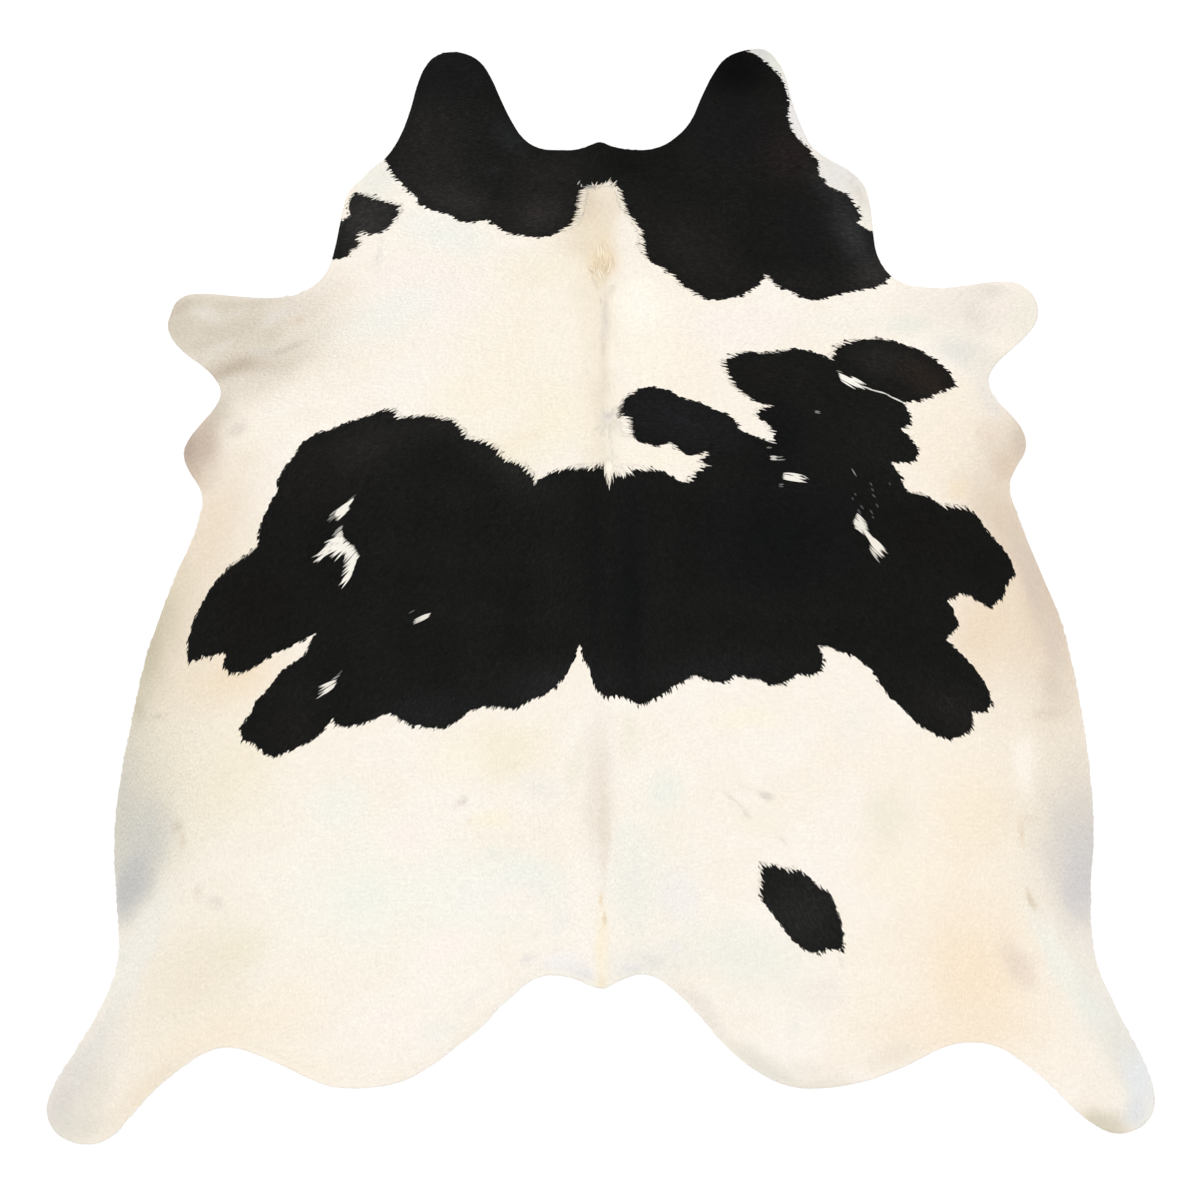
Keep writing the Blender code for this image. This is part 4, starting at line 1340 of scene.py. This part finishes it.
# Each row is a line of locks: x, y of both its ends, how many locks, their heading at the root and
# their bend towards the tip in degrees anticlockwise, their length and width, and their colour.
PALE_LOCKS = {
    "blaze, left fringe": [
        (-24, 813, -36, 750, 36, 183, 4, 19, 1.6, (243, 232, 214)),
        (-30, 806, -40, 752, 22, 187, 4, 17, 1.2, (222, 211, 195)),
        (-38, 747, -70, 733, 18, 190, 6, 16, 1.6, (244, 234, 217)),
        (-7, 819, -15, 817, 3, 174, 0, 22, 2.2, (170, 170, 160)),
        (-47, 823, -47, 823, 1, 60, 0, 11, 3.0, (150, 150, 150)),
        (-39, 818, -39, 818, 1, 86, 0, 9, 3.6, (172, 174, 170)),
    ],
    "blaze, right fringe": [
        (5, 819, 9, 818, 2, 33, 0, 18, 4.6, (234, 226, 214)),
        (24, 813, 38, 777, 22, -20, -6, 18, 1.6, (243, 233, 217)),
        (30, 808, 44, 774, 12, -24, -6, 16, 1.2, (222, 212, 197)),
        (40, 772, 70, 736, 22, -22, -6, 18, 1.6, (247, 238, 223)),
        (72, 733, 77, 690, 22, -14, -6, 16, 1.6, (248, 240, 225)),
    ],
    "crest": [
        (-7, 708, 10, 710, 7, -88, 4, 40, 2.4, (248, 234, 208)),
        (-12, 695, 16, 697, 9, -86, 6, 34, 3.0, (244, 226, 196)),
        (8, 690, 22, 684, 6, -78, -10, 32, 2.6, (241, 221, 190)),
        (17, 676, 24, 670, 4, -86, -35, 34, 2.4, (247, 232, 206)),
        (0, 680, 14, 676, 5, -96, 10, 28, 2.4, (238, 217, 184)),
        (-14, 672, -4, 670, 4, -70, -16, 30, 2.6, (240, 222, 192)),
        (-15, 655, -4, 657, 4, -58, -20, 30, 2.8, (247, 234, 210)),
        (-2, 662, 4, 660, 2, 50, -20, 14, 2.4, (251, 237, 212)),
        (11, 668, 12, 664, 2, -112, 40, 27, 1.8, (232, 214, 186)),
        (-25, 654, -22, 652, 2, -40, 0, 20, 2.4, (226, 206, 176)),
        (-29, 660, -26, 661, 3, -34, 0, 24, 1.8, (246, 232, 208)),
        (-20, 640, -17, 641, 2, -56, -14, 36, 1.6, (236, 224, 206)),
        (26, 627, 29, 624, 2, -118, -10, 30, 1.6, (240, 230, 214)),
        (30, 618, 31, 617, 1, -122, -10, 26, 1.8, (254, 247, 231)),
        (-3, 597, -3, 597, 1, -55, -40, 14, 2.0, (218, 210, 198)),
    ],
    "left wedge": [
        (-489, 204, -489, 204, 1, 223, 0, 26, 1.6, (120, 120, 115)),
        (-493, 198, -497, 188, 9, 221, 0, 34, 3.0, (244, 239, 228)),
        (-505, 188, -501, 176, 10, 220, 0, 34, 3.0, (244, 239, 228)),
        (-516, 178, -508, 168, 9, 220, 0, 26, 2.6, (240, 235, 224)),
        (-521, 178, -523, 176, 3, 218, 0, 26, 2.0, (172, 169, 161)),
        (-528, 166, -526, 162, 4, 220, 0, 24, 1.5, (152, 149, 142)),
    ],
    "left fork": [
        (-515, 144, -515, 138, 3, 220, 0, 26, 2.0, (190, 186, 178)),
        (-516, 133, -515, 126, 5, 219, 0, 28, 3.0, (222, 217, 208)),
        (-519, 126, -496, 102, 16, 218, 0, 34, 3.6, (245, 240, 230)),
        (-528, 118, -508, 98, 14, 217, 0, 34, 3.4, (245, 240, 230)),
        (-540, 106, -528, 94, 9, 215, 0, 32, 2.6, (241, 235, 225)),
        (-534, 102, -546, 86, 9, 219, 0, 38, 2.6, (241, 235, 225)),
        (-494, 104, -482, 84, 9, 224, 4, 34, 3.2, (243, 238, 228)),
        (-484, 84, -497, 44, 18, 229, 0, 38, 3.6, (243, 239, 228)),
    ],
    "left dash": [
        (-339, -33, -343, -41, 7, 197, 6, 36, 2.8, (230, 226, 216)),
        (-350, -38, -352, -42, 3, 205, 4, 30, 2.0, (192, 188, 180)),
        (-371, -26, -371, -26, 1, 212, 0, 17, 3.0, (84, 84, 80)),
    ],
    "left comma": [
        (-517, -147, -519, -149, 2, 222, 0, 18, 4.0, (68, 68, 68)),
        (-521, -157, -521, -157, 1, 222, 0, 20, 3.0, (152, 149, 142)),
        (-526, -165, -531, -179, 8, 211, 0, 40, 3.2, (236, 231, 220)),
        (-550, -186, -548, -192, 2, 210, 0, 22, 2.0, (80, 80, 76)),
    ],
    "right shoulder": [
        (338, 281, 338, 276, 4, -10, 0, 18, 2.6, (206, 204, 196)),
        (348, 277, 348, 277, 1, 5, 0, 17, 2.4, (134, 132, 126)),
        (349, 273, 349, 273, 1, -6, 4, 20, 2.6, (134, 132, 126)),
        (330, 298, 330, 298, 1, -2, 0, 11, 3.0, (110, 108, 104)),
        (364, 247, 363, 235, 11, -5, -6, 38, 2.8, (243, 238, 228)),
        (378, 244, 377, 233, 9, -8, -6, 32, 2.6, (240, 235, 224)),
        (402, 243, 402, 243, 1, -24, -8, 18, 2.4, (184, 182, 176)),
        (355, 224, 355, 222, 2, -4, 0, 13, 3.4, (96, 96, 96)),
        (427, 371, 427, 369, 2, -4, 0, 16, 3.0, (130, 130, 126)),
    ],
    "right foreleg gap": [
        (470, 452, 470, 452, 1, -20, 0, 14, 2.4, (120, 118, 110)),
        (474, 447, 478, 433, 10, -22, -4, 44, 3.6, (248, 244, 235)),
        (500, 440, 498, 430, 6, -28, 0, 34, 3.0, (243, 239, 230)),
        (512, 424, 512, 424, 1, -20, 0, 44, 2.8, (232, 230, 222)),
        (534, 414, 534, 414, 1, -10, -8, 42, 2.4, (214, 212, 204)),
        (552, 410, 552, 410, 1, -14, -18, 44, 2.4, (220, 218, 208)),
        (572, 402, 572, 402, 1, -30, -10, 42, 2.6, (226, 224, 214)),
    ],
    "right flank specks": [
        (501, 255, 501, 255, 1, -60, 0, 24, 3.0, (130, 132, 130)),
        (506, 207, 501, 198, 2, -55, 0, 9, 3.8, (66, 66, 66)),
        (538, 228, 542, 205, 3, -55, 0, 10, 3.6, (70, 70, 72)),
        (519, 184, 514, 176, 2, -55, 0, 13, 4.4, (62, 64, 66)),
        (550, 186, 538, 174, 2, -55, 0, 11, 3.4, (64, 64, 64)),
        (575, 228, 542, 160, 2, -55, 0, 8, 3.4, (68, 68, 68)),
    ],
    "right flank flame": [
        (512, 167, 503, 151, 9, -42, 0, 36, 3.2, (236, 231, 220)),
        (504, 150, 507, 139, 7, -32, 0, 30, 3.0, (232, 227, 216)),
        (519, 142, 529, 125, 8, -40, 0, 32, 3.2, (236, 230, 219)),
        (524, 135, 537, 111, 11, -46, 0, 42, 3.4, (241, 234, 222)),
        (545, 119, 538, 103, 9, -42, 0, 38, 3.2, (242, 234, 222)),
        (536, 98, 541, 88, 6, -46, 0, 26, 2.2, (206, 201, 192)),
    ],
    "whorl": [
        (34, 361, 40, 320, 34, -8, 3, 28, 1.5, (255, 248, 234)),
        (47, 356, 52, 324, 9, -12, 3, 18, 1.0, (206, 200, 190)),
        (15, 350, 19, 350, 5, -86, 2, 44, 1.0, (242, 235, 221)),
        (20, 350, 23, 352, 4, -64, 2, 38, 1.0, (243, 236, 222)),
        (23, 352, 25, 355, 4, -38, 2, 32, 1.0, (243, 236, 222)),
        (13, 350, 10, 351, 4, -108, -2, 40, 1.0, (243, 236, 222)),
        (9, 351, 8, 355, 4, -134, -2, 32, 1.0, (243, 236, 222)),
        (10, 360, 14, 362, 4, 116, 0, 24, 1.0, (243, 237, 225)),
        (18, 362, 23, 360, 4, 66, 0, 22, 1.0, (243, 237, 225)),
        (13, 278, 20, 278, 8, -89, 0, 50, 2.0, (254, 246, 231)),
        (9, 273, 22, 272, 9, -89, 0, 34, 2.0, (254, 246, 231)),
        (26, 264, 35, 261, 8, -60, 0, 30, 1.8, (254, 247, 233)),
        (39, 268, 48, 265, 8, -56, 0, 30, 1.8, (254, 247, 233)),
        (50, 264, 86, 261, 18, -36, 0, 20, 1.6, (254, 247, 233)),
        (-6, 270, -44, 265, 14, -130, 0, 18, 1.4, (252, 245, 232)),
    ],
}
BLACK_LOCKS = {
    "whorl": [
        (47, 388, 45, 362, 18, -146, 0, 17, 1.0, (66, 63, 60)),
        (3, 253, -15, 252, 9, 62, 0, 15, 1.2, (56, 53, 50)),
    ],
}


def lock_corners(rows, chance):
    """The root, the rings and the tip of every lock, and its colour."""
    corners, colours = [], []
    for x1, y1, x2, y2, count, heading, bend, length, width, colour in rows:
        for share in np.linspace(0, 1, count):
            place = np.array([x1 + (x2 - x1) * share, y1 + (y2 - y1) * share]) * MM
            place += chance.normal(0, LOCK_SCATTER, 2)
            turn = math.radians(heading + chance.normal(0, LOCK_TURN))
            size = chance.uniform(*LOCK_SIZES)
            step = length * MM * size / (LOCK_RINGS + 1)
            path = [place]
            ways = [(math.cos(turn), math.sin(turn))]
            for _ in range(LOCK_RINGS + 1):
                turn += math.radians(bend) / (LOCK_RINGS + 1)
                ways.append((math.cos(turn), math.sin(turn)))
                path.append(path[-1] + step * np.array(ways[-1]))
            corners.append(lock_body(np.array(path), np.array(ways), width * MM / 2 * size))
            colours.append(colour)
    return np.array(corners), np.array(colours)


def lock_body(path, ways, half_width):
    """One lock's corners: its root, a left, a ridge and a right corner in each ring, its tip."""
    along = np.linspace(0, 1, len(path))
    swell = np.sin(math.pi * along**FULL_NEAR_ROOT)
    height = coat_top(path)
    height = np.where(height > 0, height, THINNEST_SKIN) + LOCK_LIFT * (swell - ENDS_SUNK)
    sideways = np.stack([-ways[:, 1], ways[:, 0]], axis=1) * (half_width * swell)[:, None]
    ridge = height + LOCK_RIDGE * half_width * swell
    ring = np.stack([np.c_[path + sideways, height], np.c_[path, ridge],
                     np.c_[path - sideways, height]], axis=1)[1:-1]
    return np.vstack([[*path[0], height[0]], ring.reshape(-1, 3), [*path[-1], height[-1]]])


def lock_sides():
    """The triangles that close a lock, facing outwards."""
    tip = 1 + 3 * LOCK_RINGS
    sides = []
    for a, b in ((1, 2), (2, 3), (3, 1)):
        sides += [(0, b, a), (tip, a + tip - 4, b + tip - 4)]
        for ring in range(0, 3 * (LOCK_RINGS - 1), 3):
            sides += [(a + ring, b + ring, b + ring + 3), (a + ring, b + ring + 3, a + ring + 3)]
    return sides


def long_locks(name, chart, seed):
    """All the long locks of one chart in one mesh."""
    chance = np.random.default_rng(seed)
    corners, colours = lock_corners([row for rows in chart.values() for row in rows], chance)
    mesh = joined_mesh(name, corners, lock_sides())
    set_colours(mesh, "tuft_colour", np.repeat(as_light(colours), corners.shape[1], axis=0))
    along = np.linspace(0, 1, LOCK_RINGS + 2)
    set_strands(mesh, (0.5, *(0, 0.5, 1) * LOCK_RINGS, 0.5),
                (0, *np.repeat(along[1:-1], 3), 1), chance)
    return mesh


place_hair(long_locks("pale_long_locks", PALE_LOCKS, 41), is_black=False)
place_hair(long_locks("black_long_locks", BLACK_LOCKS, 42), is_black=True)
